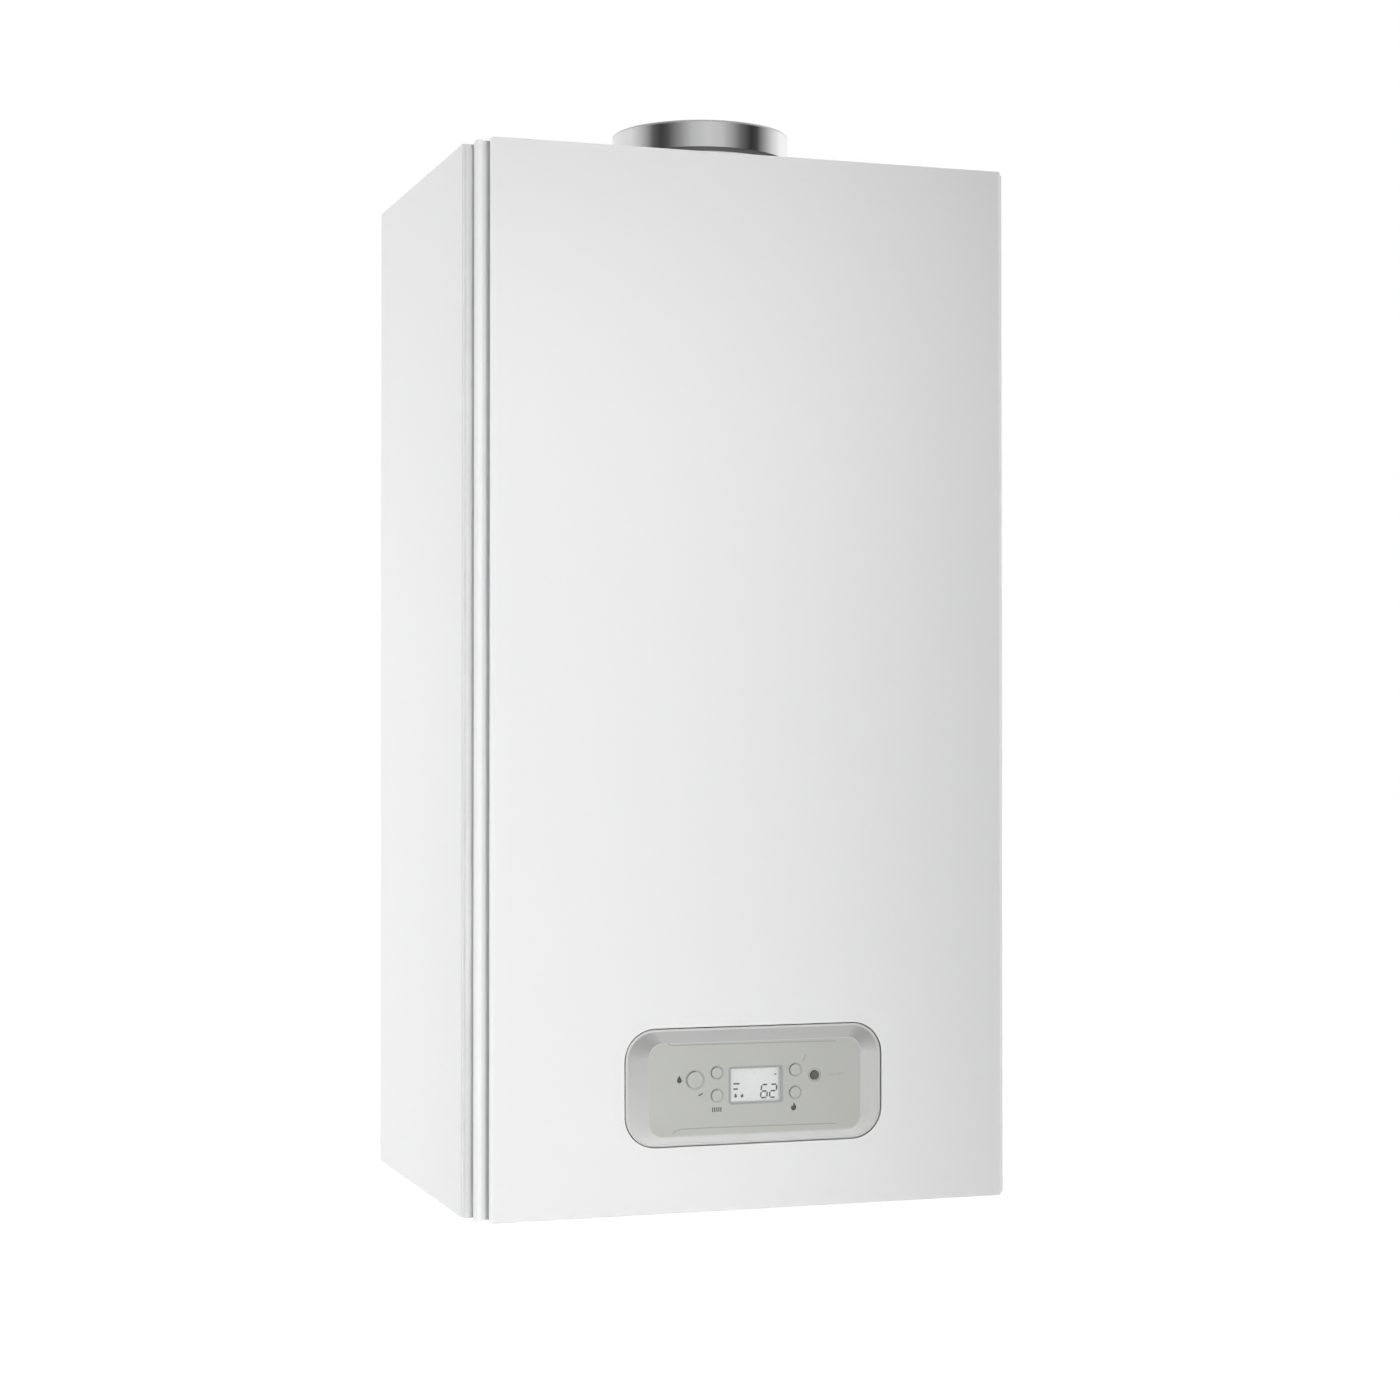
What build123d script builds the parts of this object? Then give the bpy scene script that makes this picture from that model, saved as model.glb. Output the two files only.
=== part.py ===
from build123d import *
from math import cos, radians, sin, sqrt
import os

# A wall-hung condensing combi boiler: a white sheet-steel casing with a lift-off front cover,
# a concentric flue collar on top, a control box that swings down behind the cover, and inside
# it the heat exchanger, fan, gas valve, pump, plate heat exchanger and their pipes.
# The origin is on the wall, midway between the wall bracket's two fixing holes.
# +X points right, +Y into the wall and +Z up. Depths are distances out from the wall and
# heights are distances above the casing's bottom edge.

os.makedirs("parts", exist_ok=True)

# ---------------------------------------------------------------- driving dimensions, in mm

casing_width = 400.0
casing_height = 730.0
casing_depth = 300.0
hang_height = 660.0  # the fixing holes above the casing's bottom edge
sheet = 1.2  # casing sheet
touch_gap = 0.3  # between pieces of different bodies that lie against each other
running_gap = 0.05  # radial, round a shaft

bracket_width = 300.0
bracket_height = 44.0
bracket_sheet = 2.5
fixing_spacing = 250.0
fixing_radius = 4.5
hook_spacing = 170.0
hook_width = 36.0
hook_rise = 16.5
hook_lip = 15.0

back_gap = 10.0  # rear frame to wall
rear_flange = 30.0
cover_depth = 30.0  # the front cover stands this far out from the side panels
front_flange = 24.0
wall_return = 12.0
edge_flange = 14.8
flange_back = 45.0
sheet_bend = 1.0
bottom_level = 25.0
rail_gap = 9.0  # hinge rail to control box

front_inset = 13.2  # the casing's side to the flat front's edge
cover_corner = 2.2
edge_depth = 6.0  # the cover's side steps, counted from its front backwards
groove_inset = 19.0
groove_depth = 3.0  # below the ridge's top
ridge_setback = 13.0
ridge_inset = 6.2
ridge_lip = 3.5
ridge_corner = 1.6
ridge_width = 9.0
return_inset = 13.0
seal_sheet = 1.2
seal_width = 12.0
cover_edge = 1.2  # rounding of the cover's top and bottom front edges
tab_width = 8.0
tab_length = 17.0
tongue_length = 20.0
stud_radius = 2.5
stud_length = 9.5
stud_inset = 20.0
stud_low = 150.0
stud_drop = 90.0
clip_gap = 0.4
clip_height = 16.0

panel_width = 188.0
panel_height = 81.5
panel_corner = 22.0
panel_x = 0.35
panel_level = 86.05
panel_gap = 0.8
rim_width = 1.6
rim_setback = 0.4
dish_depth = 3.6
face_right = 2.25  # the face's centre from the cut-out's
face_drop = 2.25
face_width = 155.8
face_height = 64.6
face_corner = 10.0
face_wall = 2.2

box_width = 280.0
box_bottom = 30.0
box_height = 140.0
box_setback = 16.0  # behind the casing's front
box_depth = 70.0
box_wall = 2.5
box_plate = 2.5
box_corner = 6.0
hinge_forward = 8.0  # from the box's back, and up from its bottom
hinge_rise = 8.0
hinge_radius = 4.0
lug_inset = 5.0
lug_sheet = 3.0

window_left = 0.2  # the window's centre from the face's
window_rise = 1.5
window_width = 36.8
window_height = 23.0
lens_sheet = 1.5
lens_gap = 0.2

button_proud = 0.9
button_gap = 0.3
button_flange = 1.2
button_length = 9.0
small_button = 4.0
mode_button = 5.8
power_button = 3.2
small_button_x = 28.7
upper_button = 9.3
lower_button = -6.4
mode_button_x = -44.6
power_button_x = 43.2
side_button = 5.0

flue_setback = 120.0
collar_radius = 64.5
collar_height = 35.4
air_socket_radius = 62.75
air_socket_length = 32.0
collar_flange_radius = 78.0
collar_flange = 2.5
collar_screw_circle = 71.5
seam_level = 13.0
seam_height = 3.0
seam_depth = 0.9
collar_lip = 1.2
air_gap_radius = 58.0
flue_socket_radius = 40.25
flue_socket_length = 31.0
flue_wall = 1.6
flue_stub_radius = 38.0
shoulder_drop = 90.0
socket_proud = 1.0

exchanger_drop = 220.0
exchanger_radius = 110.0
exchanger_setback = 56.0
exchanger_length = 126.0
exchanger_wall = 3.0
exchanger_rim = 10.0
exchanger_flange = 6.0
stud_edge = 6.0
door_sheet = 6.0
door_stud_radius = 3.0
door_stud_length = 15.0
nut_width = 10.0
nut_height = 5.0
burner_radius = 35.0
burner_length = 85.0
burner_wall = 1.5
coil_gap = 8.0
coil_tube_width = 30.0
coil_tube_height = 12.0
coil_pitch = 16.0
coil_turns = 6
coil_wall = 1.2
coil_header_width = 24.0
insulation_sheet = 10.0
electrode_x = 50.0
electrode_rise = 46.0
electrode_radius = 6.0

port_x = 85.0
port_inset = 12.0
port_drop = 85.0
pipe_radius = 9.0
pipe_wall = 1.0
port_radius = 11.0
port_sleeve = 12.0

fan_x = -95.0
fan_drop = 175.0
fan_radius = 58.0
fan_setback = 62.0
fan_width = 56.0
fan_wall = 3.0
impeller_radius = 46.0
impeller_gap = 4.0
blade_count = 16
motor_radius = 36.0
motor_length = 37.0
fan_shaft = 4.0
outlet_shift = 50.0
outlet_rise = 5.0
duct_radius = 15.0
duct_wall = 2.0
duct_gap = 3.0
duct_bend = 28.0
chamber_radius = 32.0
chamber_rim = 8.0
chamber_roof = 1.0
venturi_radius = 30.0
venturi_length = 24.0
intake_radius = 22.0

valve_x = 90.0
valve_width = 60.0
valve_drop = 35.0
valve_height = 66.0
valve_setback = 87.0
valve_depth = 58.0
valve_stub = 8.0
gas_pipe_radius = 8.0
gas_tube_radius = 7.0
gas_port_inset = 35.0
gas_inlet_forward = 13.0
gas_turn_x = 10.0
gas_bend_drop = 38.0

vessel_rise = 10.0
vessel_radius = 150.0
vessel_gap = 20.0
vessel_boss = 40.0
vessel_seat = 5.0
vessel_seam = 6.0
vessel_wall = 2.0
vessel_back_round = 30.0
vessel_front_round = 34.0
round_share = 0.45  # a round takes up no more of the vessel's depth than this
vessel_port_x = 60.0
vessel_port_inset = 40.0
vessel_port_length = 2.0
vessel_pipe_radius = 6.0

tail_spacing = 65.0
tail_setback = 190.0
tail_bottom = -18.0
large_tail = 13.2  # G3/4
small_tail = 10.5  # G1/2
large_bore = 9.0
small_bore = 7.0
tail_thread = 16.0
tail_neck = 1.2  # the pipe above the thread is this much slimmer
union_radius = 17.0
union_height = 11.0
union_wall = 4.5

block_bottom = 60.0
block_height = 78.0
block_behind = 35.0  # from the tails' axes
block_ahead = 40.0
block_outside = 42.0
block_inside = 15.0
block_corner = 5.0
exchange_half = 95.0
exchange_gap = 10.0
exchange_depth = 42.0
exchange_rise = 4.0
exchange_height = 68.0
exchange_port_x = 76.0
exchange_port_rise = 22.0
exchange_port_radius = 9.0
plate_pitch = 6.0
plate_groove = 1.4

pump_x = 110.0
pump_rise = 52.0
pump_radius = 42.0
pump_behind = 18.0
pump_width = 46.0
pump_wall = 8.0
pump_motor_radius = 38.0
pump_motor_length = 60.0
pump_impeller_radius = 30.0
pump_shaft = 4.0
pump_port = 12.0
pump_outlet = 56.0

diverter_edge = 24.0
diverter_behind = 6.0
diverter_radius = 20.0
diverter_height = 44.0
spindle_radius = 3.0
spindle_stroke = 7.0
spindle_disc = 8.0
spindle_well = 8.6
flow_port_x = -108.0

turbine_rise = 24.0
turbine_height = 10.0
turbine_radius = 7.6
turbine_bore = 8.6
turbine_shaft = 1.5
turbine_blades = 5

relief_edge = 32.0
relief_rise = 32.0
relief_radius = 12.0
relief_length = 30.0
relief_pipe_ahead = 16.0
relief_pipe_radius = 7.5
relief_bore = 5.0
relief_knob_radius = 16.0
relief_knob_length = 18.0
relief_pin = 4.0
filling_radius = 9.0
filling_bottom = 12.0
filling_pin = 3.0
filling_knob_radius = 11.0
filling_knob_height = 18.0

vent_x = -75.0
vent_inset = 32.0
vent_rise = 92.0
vent_radius = 12.0
vent_height = 40.0
trap_x = -36.0
trap_inset = 26.0
trap_radius = 26.0
trap_bottom = 150.0
trap_height = 96.0
trap_overlap = 10.0
trap_neck = 10.0
trap_outlet = 10.75
trap_bore = 8.0
trap_wall = 1.6
condensate_stub = 7.0
condensate_drop = 124.0
gland_edge = 35.0
gland_behind = 50.0
gland_radius = 10.0
gland_neck = 8.5
gland_bore = 4.5
gland_length = 22.0
screw_radius = 1.9
screw_head = 4.0
screw_head_height = 2.2
screw_length = 8.0
hole_gap = 0.2

# ---------------------------------------------------------------- sizes that follow from them

half_width = casing_width / 2
inner_half = half_width - sheet
back_plate = back_gap + sheet
side_depth = casing_depth - cover_depth
cover_half = half_width - front_inset
step_front = casing_depth - edge_depth
step_half = half_width - groove_inset
ridge_front = casing_depth - ridge_setback
groove_floor = ridge_front - groove_depth
ridge_half = half_width - ridge_inset
lip_half = ridge_half - ridge_lip
ridge_back = ridge_front - ridge_width
return_half = half_width - return_inset
stud_high = casing_height - stud_drop
cover_back = side_depth + seal_sheet + touch_gap
cover_inside = casing_depth - sheet
rim_front = casing_depth - rim_setback
face_front = rim_front - dish_depth
face_back = face_front - face_wall
hook_out = back_plate + touch_gap + bracket_sheet

box_front = casing_depth - box_setback
box_back = box_front - box_depth
box_level = box_bottom + box_height / 2
hinge_depth = box_back + hinge_forward
hinge_level = box_bottom + hinge_rise
bottom_depth = box_back - rail_gap
face_x = panel_x + face_right
face_level = panel_level - face_drop
window_x = face_x - window_left
window_level = face_level + window_rise

flue_depth = casing_depth - flue_setback
flue_shoulder = casing_height - shoulder_drop
flue_socket_top = casing_height + socket_proud
exchanger_level = casing_height - exchanger_drop
exchanger_front = casing_depth - exchanger_setback
exchanger_back = exchanger_front - exchanger_length
exchanger_flange_radius = exchanger_radius + exchanger_rim
stud_circle = exchanger_flange_radius - stud_edge
coil_radius = exchanger_radius - exchanger_wall - coil_gap - coil_tube_width / 2
door_back = exchanger_front + exchanger_flange
door_front = door_back + door_sheet
port_depth = exchanger_back + port_inset
port_bottom = exchanger_level - port_drop
condensate_bottom = exchanger_level - condensate_drop
vent_depth = exchanger_back + vent_inset
vent_seat = exchanger_level + vent_rise
trap_depth = exchanger_back + trap_inset
trap_top = condensate_bottom + trap_overlap

fan_level = exchanger_level - fan_drop
fan_front = casing_depth - fan_setback
fan_back = fan_front - fan_width
motor_back = fan_back - motor_length
duct_x = fan_x - outlet_shift
duct_depth = (fan_back + fan_front) / 2
duct_start = fan_level + fan_radius + outlet_rise
duct_front = door_front + duct_radius + duct_gap
chamber_front = duct_front + duct_radius + chamber_roof
valve_bottom = fan_level - valve_drop
valve_front = casing_depth - valve_setback
valve_back = valve_front - valve_depth
gas_tube_depth = valve_back + gas_port_inset
gas_tube_front = fan_front + gas_inlet_forward
gas_rise = valve_bottom - gas_bend_drop

vessel_level = exchanger_level + vessel_rise
vessel_back = back_plate + vessel_seat
vessel_front = exchanger_back - vessel_gap
vessel_port_depth = vessel_front - vessel_port_inset
vessel_port_bottom = vessel_level - vessel_radius - vessel_port_length

tail_depth = casing_depth - tail_setback
block_back = tail_depth - block_behind
block_front = tail_depth + block_ahead
block_outer = 2 * tail_spacing + block_outside
block_inner = tail_spacing - block_inside
block_top = block_bottom + block_height
exchange_back = block_front + exchange_gap
exchange_front = exchange_back + exchange_depth
exchange_bottom = block_bottom + exchange_rise
pump_level = block_top + pump_rise
pump_back = tail_depth - pump_behind
pump_front = pump_back + pump_width
pump_middle = (pump_back + pump_front) / 2
pump_outlet_top = pump_level + pump_outlet
diverter_x = diverter_edge - block_outer
diverter_depth = tail_depth - diverter_behind
turbine_bottom = block_bottom + turbine_rise
relief_x = block_outer - relief_edge
relief_level = block_bottom + relief_rise
relief_front = block_front + relief_length
relief_pipe_depth = block_front + relief_pipe_ahead
filling_x = 1.5 * tail_spacing
gland_x = gland_edge - half_width
gland_depth = tail_depth - gland_behind
tails = {
    "heating_flow": -2 * tail_spacing,
    "hot_water": -tail_spacing,
    "gas": 0.0,
    "cold_water": tail_spacing,
    "heating_return": 2 * tail_spacing,
}


def level(height):
    """Z of a point that lies so far above the casing's bottom edge."""
    return height - hang_height


def level_plane(height):
    """The level plane at a height; extruding from it goes up."""
    return Plane.XY.offset(level(height))


def facing_plane(depth):
    """The upright plane at a depth from the wall; extruding from it goes towards the room."""
    return Plane.XZ.offset(depth)


def upright_axis(x, depth):
    """A vertical axis at a place in plan."""
    return Axis((x, -depth, 0), (0, 0, 1))


def near(value, target):
    """Whether two lengths agree."""
    return abs(value - target) < 0.01


def save(builder, name):
    """Labels a finished piece and writes it under its own name."""
    piece = builder.part
    piece.label = name
    export_step(piece, f"parts/{name}.step")


# ---------------------------------------------------------------- wall bracket and casing

hook_play = 2.0
plate_gap = 2.0  # round a pipe that passes through a sheet
lug_radius = 2.2 * hinge_radius
seal_inset = 5.0
seal_drop = 1.0
stud_chamfer = 0.8

with BuildPart() as wall_bracket:
    with BuildSketch(facing_plane(0)):
        RectangleRounded(bracket_width, bracket_height, 3 * bracket_sheet)
        with GridLocations(fixing_spacing, 0, 2, 1):
            Circle(fixing_radius, mode=Mode.SUBTRACT)
    extrude(amount=bracket_sheet)
    for middle in (-hook_spacing / 2, hook_spacing / 2):
        with BuildSketch(Plane.YZ.offset(middle - hook_width / 2)):
            with BuildLine():
                Polyline(
                    (-bracket_sheet, hook_rise - bracket_sheet),
                    (-hook_out, hook_rise - bracket_sheet),
                    (-hook_out, hook_rise + hook_lip),
                    (-hook_out + bracket_sheet, hook_rise + hook_lip),
                    (-hook_out + bracket_sheet, hook_rise),
                    (-bracket_sheet, hook_rise),
                    close=True,
                )
            make_face()
        extrude(amount=hook_width)
save(wall_bracket, "wall_bracket")

with BuildPart() as rear_frame:
    with BuildSketch(level_plane(0)):
        with Locations((0, -back_gap - sheet / 2)):
            Rectangle(2 * inner_half, sheet)
        with Locations((0, -back_gap - rear_flange / 2)):
            with GridLocations(2 * inner_half - sheet, 0, 2, 1):
                Rectangle(sheet, rear_flange)
    extrude(amount=casing_height - sheet)
    with BuildSketch(facing_plane(back_gap)):
        with Locations((0, hook_rise - 2 * bracket_sheet)):
            with GridLocations(hook_spacing, 0, 2, 1):
                Rectangle(hook_width + 2 * hook_play, 4 * bracket_sheet)
    extrude(amount=sheet, mode=Mode.SUBTRACT)
save(rear_frame, "rear_frame")

screw_hole = screw_radius + hole_gap
cover_screw_depth = side_depth - 2 * screw_head
top_screw_depths = (flange_back + 2 * screw_head, side_depth - 5 * screw_head)
edge_screw_x = inner_half - edge_flange / 2
tab_x = half_width - front_flange - tab_width / 2 - sheet
tongue_inner = tab_x - tab_width / 2 - sheet

for side, name in ((-1, "left_side_panel"), (1, "right_side_panel")):
    with BuildPart() as side_panel:
        with BuildSketch(level_plane(0)):
            with Locations((side * (half_width - sheet / 2), -side_depth / 2)):
                Rectangle(sheet, side_depth)
            with Locations((side * (half_width - front_flange / 2), -side_depth + sheet / 2)):
                Rectangle(front_flange, sheet)
            with Locations((side * (half_width - wall_return / 2), -sheet / 2)):
                Rectangle(wall_return, sheet)
        extrude(amount=casing_height)
        for height in (0, casing_height - 2 * sheet):
            with BuildSketch(level_plane(height)):
                with Locations((side * edge_screw_x, -(flange_back + side_depth - sheet) / 2)):
                    Rectangle(edge_flange, side_depth - sheet - flange_back)
            extrude(amount=sheet)
        with BuildSketch(level_plane(0)):
            with Locations(
                (side * (inner_half + tongue_inner) / 2, -side_depth + sheet + tongue_length / 2)
            ):
                Rectangle(inner_half - tongue_inner, tongue_length)
        extrude(amount=sheet)
        with Locations((side * tab_x, -cover_screw_depth, level(0))):
            Cylinder(screw_hole, 3 * sheet, mode=Mode.SUBTRACT)
        for depth in top_screw_depths:
            with Locations((side * edge_screw_x, -depth, level(casing_height - sheet))):
                Cylinder(screw_hole, 4 * sheet, mode=Mode.SUBTRACT)
        corners = side_panel.edges().filter_by(Axis.Z).filter_by(
            lambda edge: near(edge.center().X, side * half_width)
        )
        fillet(corners, sheet_bend)
    save(side_panel, name)

with BuildPart() as top_panel:
    with BuildSketch(level_plane(casing_height - sheet)):
        with Locations((0, -side_depth / 2)):
            Rectangle(2 * inner_half, side_depth - 2 * sheet)
        with Locations((0, -flue_depth)):
            Circle(air_gap_radius + plate_gap, mode=Mode.SUBTRACT)
            with PolarLocations(collar_screw_circle, 4, start_angle=45):
                Circle(screw_hole, mode=Mode.SUBTRACT)
        for depth in top_screw_depths:
            with Locations((-edge_screw_x, -depth), (edge_screw_x, -depth)):
                Circle(screw_hole, mode=Mode.SUBTRACT)
    extrude(amount=sheet)
    with BuildSketch(facing_plane(side_depth - sheet)):
        with Locations((0, level(casing_height - edge_flange / 2))):
            Rectangle(2 * (half_width - front_flange), edge_flange)
    extrude(amount=sheet)
save(top_panel, "top_panel")

with BuildPart() as bottom_plate:
    with BuildSketch(level_plane(bottom_level)):
        with Locations((0, -(back_plate + bottom_depth) / 2)):
            Rectangle(2 * (inner_half - sheet), bottom_depth - back_plate)
        for x in tails.values():
            with Locations((x, -tail_depth)):
                Circle(union_radius + plate_gap, mode=Mode.SUBTRACT)
        with Locations((trap_x, -trap_depth)):
            Circle(trap_outlet + plate_gap, mode=Mode.SUBTRACT)
        with Locations((gland_x, -gland_depth)):
            Circle(gland_neck, mode=Mode.SUBTRACT)
        with Locations((relief_x, -relief_pipe_depth)):
            Circle(relief_pipe_radius + plate_gap, mode=Mode.SUBTRACT)
        with Locations((filling_x, -tail_depth)):
            Circle(filling_radius + plate_gap, mode=Mode.SUBTRACT)
    extrude(amount=sheet)
save(bottom_plate, "bottom_plate")

lug_x = box_width / 2 + lug_inset
with BuildPart() as hinge_rail:
    with BuildSketch(facing_plane(bottom_depth - sheet)):
        with Locations((0, level((bottom_level + sheet) / 2))):
            Rectangle(2 * inner_half, bottom_level - sheet)
    extrude(amount=sheet)
    for side in (-1, 1):
        inner_face = side * (lug_x + lug_sheet / 2) - lug_sheet / 2
        with BuildSketch(Plane.YZ.offset(inner_face)):
            with Locations((-hinge_depth, level(hinge_level))):
                Circle(lug_radius)
            with BuildLine():
                Polyline(
                    (-bottom_depth + sheet / 2, level(3 * sheet)),
                    (-hinge_depth - 2 * hinge_radius, level(3 * sheet)),
                    (-hinge_depth - lug_radius, level(hinge_level)),
                    (-hinge_depth + lug_radius, level(hinge_level)),
                    (-bottom_depth + sheet / 2, level(bottom_level - sheet)),
                    close=True,
                )
            make_face()
            with Locations((-hinge_depth, level(hinge_level))):
                Circle(hinge_radius + running_gap, mode=Mode.SUBTRACT)
        extrude(amount=lug_sheet)
save(hinge_rail, "hinge_rail")

seal_half = return_half + seal_inset
seal_top = casing_height - seal_drop
with BuildPart() as cover_seal:
    with BuildSketch(facing_plane(side_depth)):
        with Locations((0, level(seal_top - seal_width / 2))):
            Rectangle(2 * seal_half + seal_width, seal_width)
        with Locations((0, level(seal_top / 2))):
            with GridLocations(2 * seal_half, 0, 2, 1):
                Rectangle(seal_width, seal_top)
    extrude(amount=seal_sheet)
save(cover_seal, "cover_seal")

stud_x = half_width - stud_inset
stud_places = [
    (side * stud_x, level(height)) for side in (-1, 1) for height in (stud_low, stud_high)
]
with BuildPart() as cover_studs:
    with BuildSketch(facing_plane(side_depth)):
        with Locations(*stud_places):
            Circle(stud_radius)
    extrude(amount=stud_length)
    chamfer(cover_studs.faces().filter_by(Axis.Y).sort_by(Axis.Y)[:4].edges(), stud_chamfer)
save(cover_studs, "cover_studs")

with BuildPart() as casing_screws:
    flange_top = casing_height + collar_flange
    with BuildSketch(level_plane(flange_top)):
        with Locations((0, -flue_depth)):
            with PolarLocations(collar_screw_circle, 4, start_angle=45):
                Circle(screw_head)
    extrude(amount=screw_head_height)
    with BuildSketch(level_plane(flange_top)):
        with Locations((0, -flue_depth)):
            with PolarLocations(collar_screw_circle, 4, start_angle=45):
                Circle(screw_radius)
    extrude(amount=-screw_length)
    for depth in top_screw_depths:
        with BuildSketch(level_plane(casing_height)):
            with Locations((-edge_screw_x, -depth), (edge_screw_x, -depth)):
                Circle(screw_head)
        extrude(amount=screw_head_height)
        with BuildSketch(level_plane(casing_height)):
            with Locations((-edge_screw_x, -depth), (edge_screw_x, -depth)):
                Circle(screw_radius)
        extrude(amount=-screw_length)
    cover_screw_places = [(-tab_x, -cover_screw_depth), (tab_x, -cover_screw_depth)]
    with BuildSketch(level_plane(0)):
        with Locations(*cover_screw_places):
            Circle(screw_head)
    extrude(amount=-screw_head_height)
    with BuildSketch(level_plane(0)):
        with Locations(*cover_screw_places):
            Circle(screw_radius)
    extrude(amount=screw_length)
save(casing_screws, "casing_screws")

# ---------------------------------------------------------------- front cover

clip_setback = 1.0


def cover_outline(back):
    """Draws the cover's plan outline, stepped along both sides, closed at a depth."""
    right = [
        (cover_half, -casing_depth),
        (cover_half, -step_front),
        (step_half, -step_front),
        (step_half, -groove_floor),
        (lip_half, -groove_floor),
        (lip_half, -ridge_front),
        (ridge_half, -ridge_front),
        (ridge_half, -ridge_back),
        (return_half, -ridge_back),
        (return_half, -back),
    ]
    rounds = [cover_corner, 0, 0, 0, 0, 0, ridge_corner, 0, 0, 0]
    left = [(-x, y) for x, y in reversed(right)]
    FilletPolyline(*right, *left, radius=rounds + rounds[::-1], close=True)


with BuildPart() as front_cover:
    with BuildSketch(level_plane(0)):
        with BuildLine():
            cover_outline(cover_back)
        make_face()
    extrude(amount=casing_height)
    front_edges = front_cover.edges().filter_by(
        lambda edge: (
            edge.center().Y < -step_front
            and (near(edge.center().Z, level(0)) or near(edge.center().Z, level(casing_height)))
        )
    )
    fillet(front_edges, cover_edge)
    with BuildSketch(level_plane(sheet)):
        with BuildLine():
            cover_outline(side_depth - 2 * sheet)
        make_face()
        offset(amount=-sheet, kind=Kind.INTERSECTION)
    extrude(amount=casing_height - 2 * sheet, mode=Mode.SUBTRACT)
    with BuildSketch(facing_plane(cover_inside - sheet)):
        with Locations((panel_x, level(panel_level))):
            RectangleRounded(panel_width, panel_height, panel_corner)
    extrude(amount=3 * sheet, mode=Mode.SUBTRACT)
    tab_root = cover_back + 2 * sheet
    tab_back = tab_root - tab_length
    for side in (-1, 1):
        with BuildSketch(level_plane(sheet)):
            with Locations((side * tab_x, -(cover_back + tab_root) / 2)):
                Rectangle(tab_width, tab_root - cover_back)
        extrude(amount=sheet + touch_gap)
        with BuildSketch(level_plane(sheet + touch_gap)):
            with Locations((side * tab_x, -(tab_root + tab_back) / 2)):
                Rectangle(tab_width, tab_length)
            with Locations((side * tab_x, -cover_screw_depth)):
                Circle(screw_hole, mode=Mode.SUBTRACT)
            with Locations((side * tab_x, -(cover_screw_depth + tab_back) / 2)):
                Rectangle(2 * screw_hole, cover_screw_depth - tab_back, mode=Mode.SUBTRACT)
        extrude(amount=sheet)
save(front_cover, "front_cover")

clip_outer = return_half - sheet
clip_inner = 2 * stud_x - clip_outer
with BuildPart() as cover_clips:
    clip_back = cover_back + clip_setback
    with BuildSketch(facing_plane(clip_back)):
        for side in (-1, 1):
            for height in (stud_low, stud_high):
                with Locations((side * stud_x, level(height))):
                    Rectangle(clip_outer - clip_inner, clip_height)
    extrude(amount=stud_length)
    with BuildSketch(facing_plane(clip_back)):
        with Locations(*stud_places):
            Circle(stud_radius + clip_gap)
    extrude(amount=side_depth + stud_length + touch_gap - clip_back, mode=Mode.SUBTRACT)
save(cover_clips, "cover_clips")

# ---------------------------------------------------------------- flue connection

with BuildPart() as flue_adapter:
    top = casing_height + collar_height
    with BuildSketch(facing_plane(flue_depth)):
        with BuildLine():
            Polyline(
                (air_gap_radius, level(casing_height)),
                (collar_flange_radius, level(casing_height)),
                (collar_flange_radius, level(casing_height + collar_flange)),
                (collar_radius, level(casing_height + collar_flange)),
                (collar_radius, level(casing_height + seam_level)),
                (collar_radius - seam_depth, level(casing_height + seam_level)),
                (collar_radius - seam_depth, level(casing_height + seam_level + seam_height)),
                (collar_radius, level(casing_height + seam_level + seam_height)),
                (collar_radius, level(top)),
                (air_socket_radius, level(top)),
                (air_socket_radius, level(top - air_socket_length)),
                (air_gap_radius, level(top - air_socket_length)),
                close=True,
            )
        make_face()
    revolve(axis=upright_axis(0, flue_depth))
    fillet(flue_adapter.edges().group_by(Axis.Z)[-1].sort_by(SortBy.LENGTH)[-1], collar_lip)
    with BuildSketch(level_plane(casing_height)):
        with Locations((0, -flue_depth)):
            with PolarLocations(collar_screw_circle, 4, start_angle=45):
                Circle(screw_hole)
    extrude(amount=collar_flange, mode=Mode.SUBTRACT)
save(flue_adapter, "flue_adapter")

with BuildPart() as flue_socket:
    sleeve_radius = flue_stub_radius + touch_gap
    socket_bottom = flue_socket_top - flue_socket_length
    with BuildSketch(facing_plane(flue_depth)):
        with BuildLine():
            Polyline(
                (sleeve_radius, level(flue_shoulder)),
                (sleeve_radius + flue_wall, level(flue_shoulder)),
                (sleeve_radius + flue_wall, level(socket_bottom - 2 * flue_wall)),
                (flue_socket_radius + flue_wall, level(socket_bottom - flue_wall)),
                (flue_socket_radius + flue_wall, level(flue_socket_top)),
                (flue_socket_radius, level(flue_socket_top)),
                (flue_socket_radius, level(socket_bottom)),
                (sleeve_radius, level(socket_bottom)),
                close=True,
            )
        make_face()
    revolve(axis=upright_axis(0, flue_depth))
save(flue_socket, "flue_socket")

# ---------------------------------------------------------------- heat exchanger and burner

vent_boss = 10.0
coil_header_corner = 4.0
coil_port = 6.0
burner_rows = 4
burner_row_start = 14.0
burner_row_pitch = 15.0
burner_slots = 12  # round the burner
burner_slot_length = 9.0
burner_slot_width = 3.0
rib_insets = (12.0, 26.0)  # inside the exchanger's radius
rib_width = 4.0
rib_height = 2.0
rib_relief = 3.0
electrode_foot = 2.5
electrode_foot_width = 18.0
electrode_foot_height = 14.0
electrode_corner = 2.0
electrode_cap_radius = 5.0
electrode_cap = 14.0
rod_radius = 1.5
rod_length = 22.0

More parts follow.
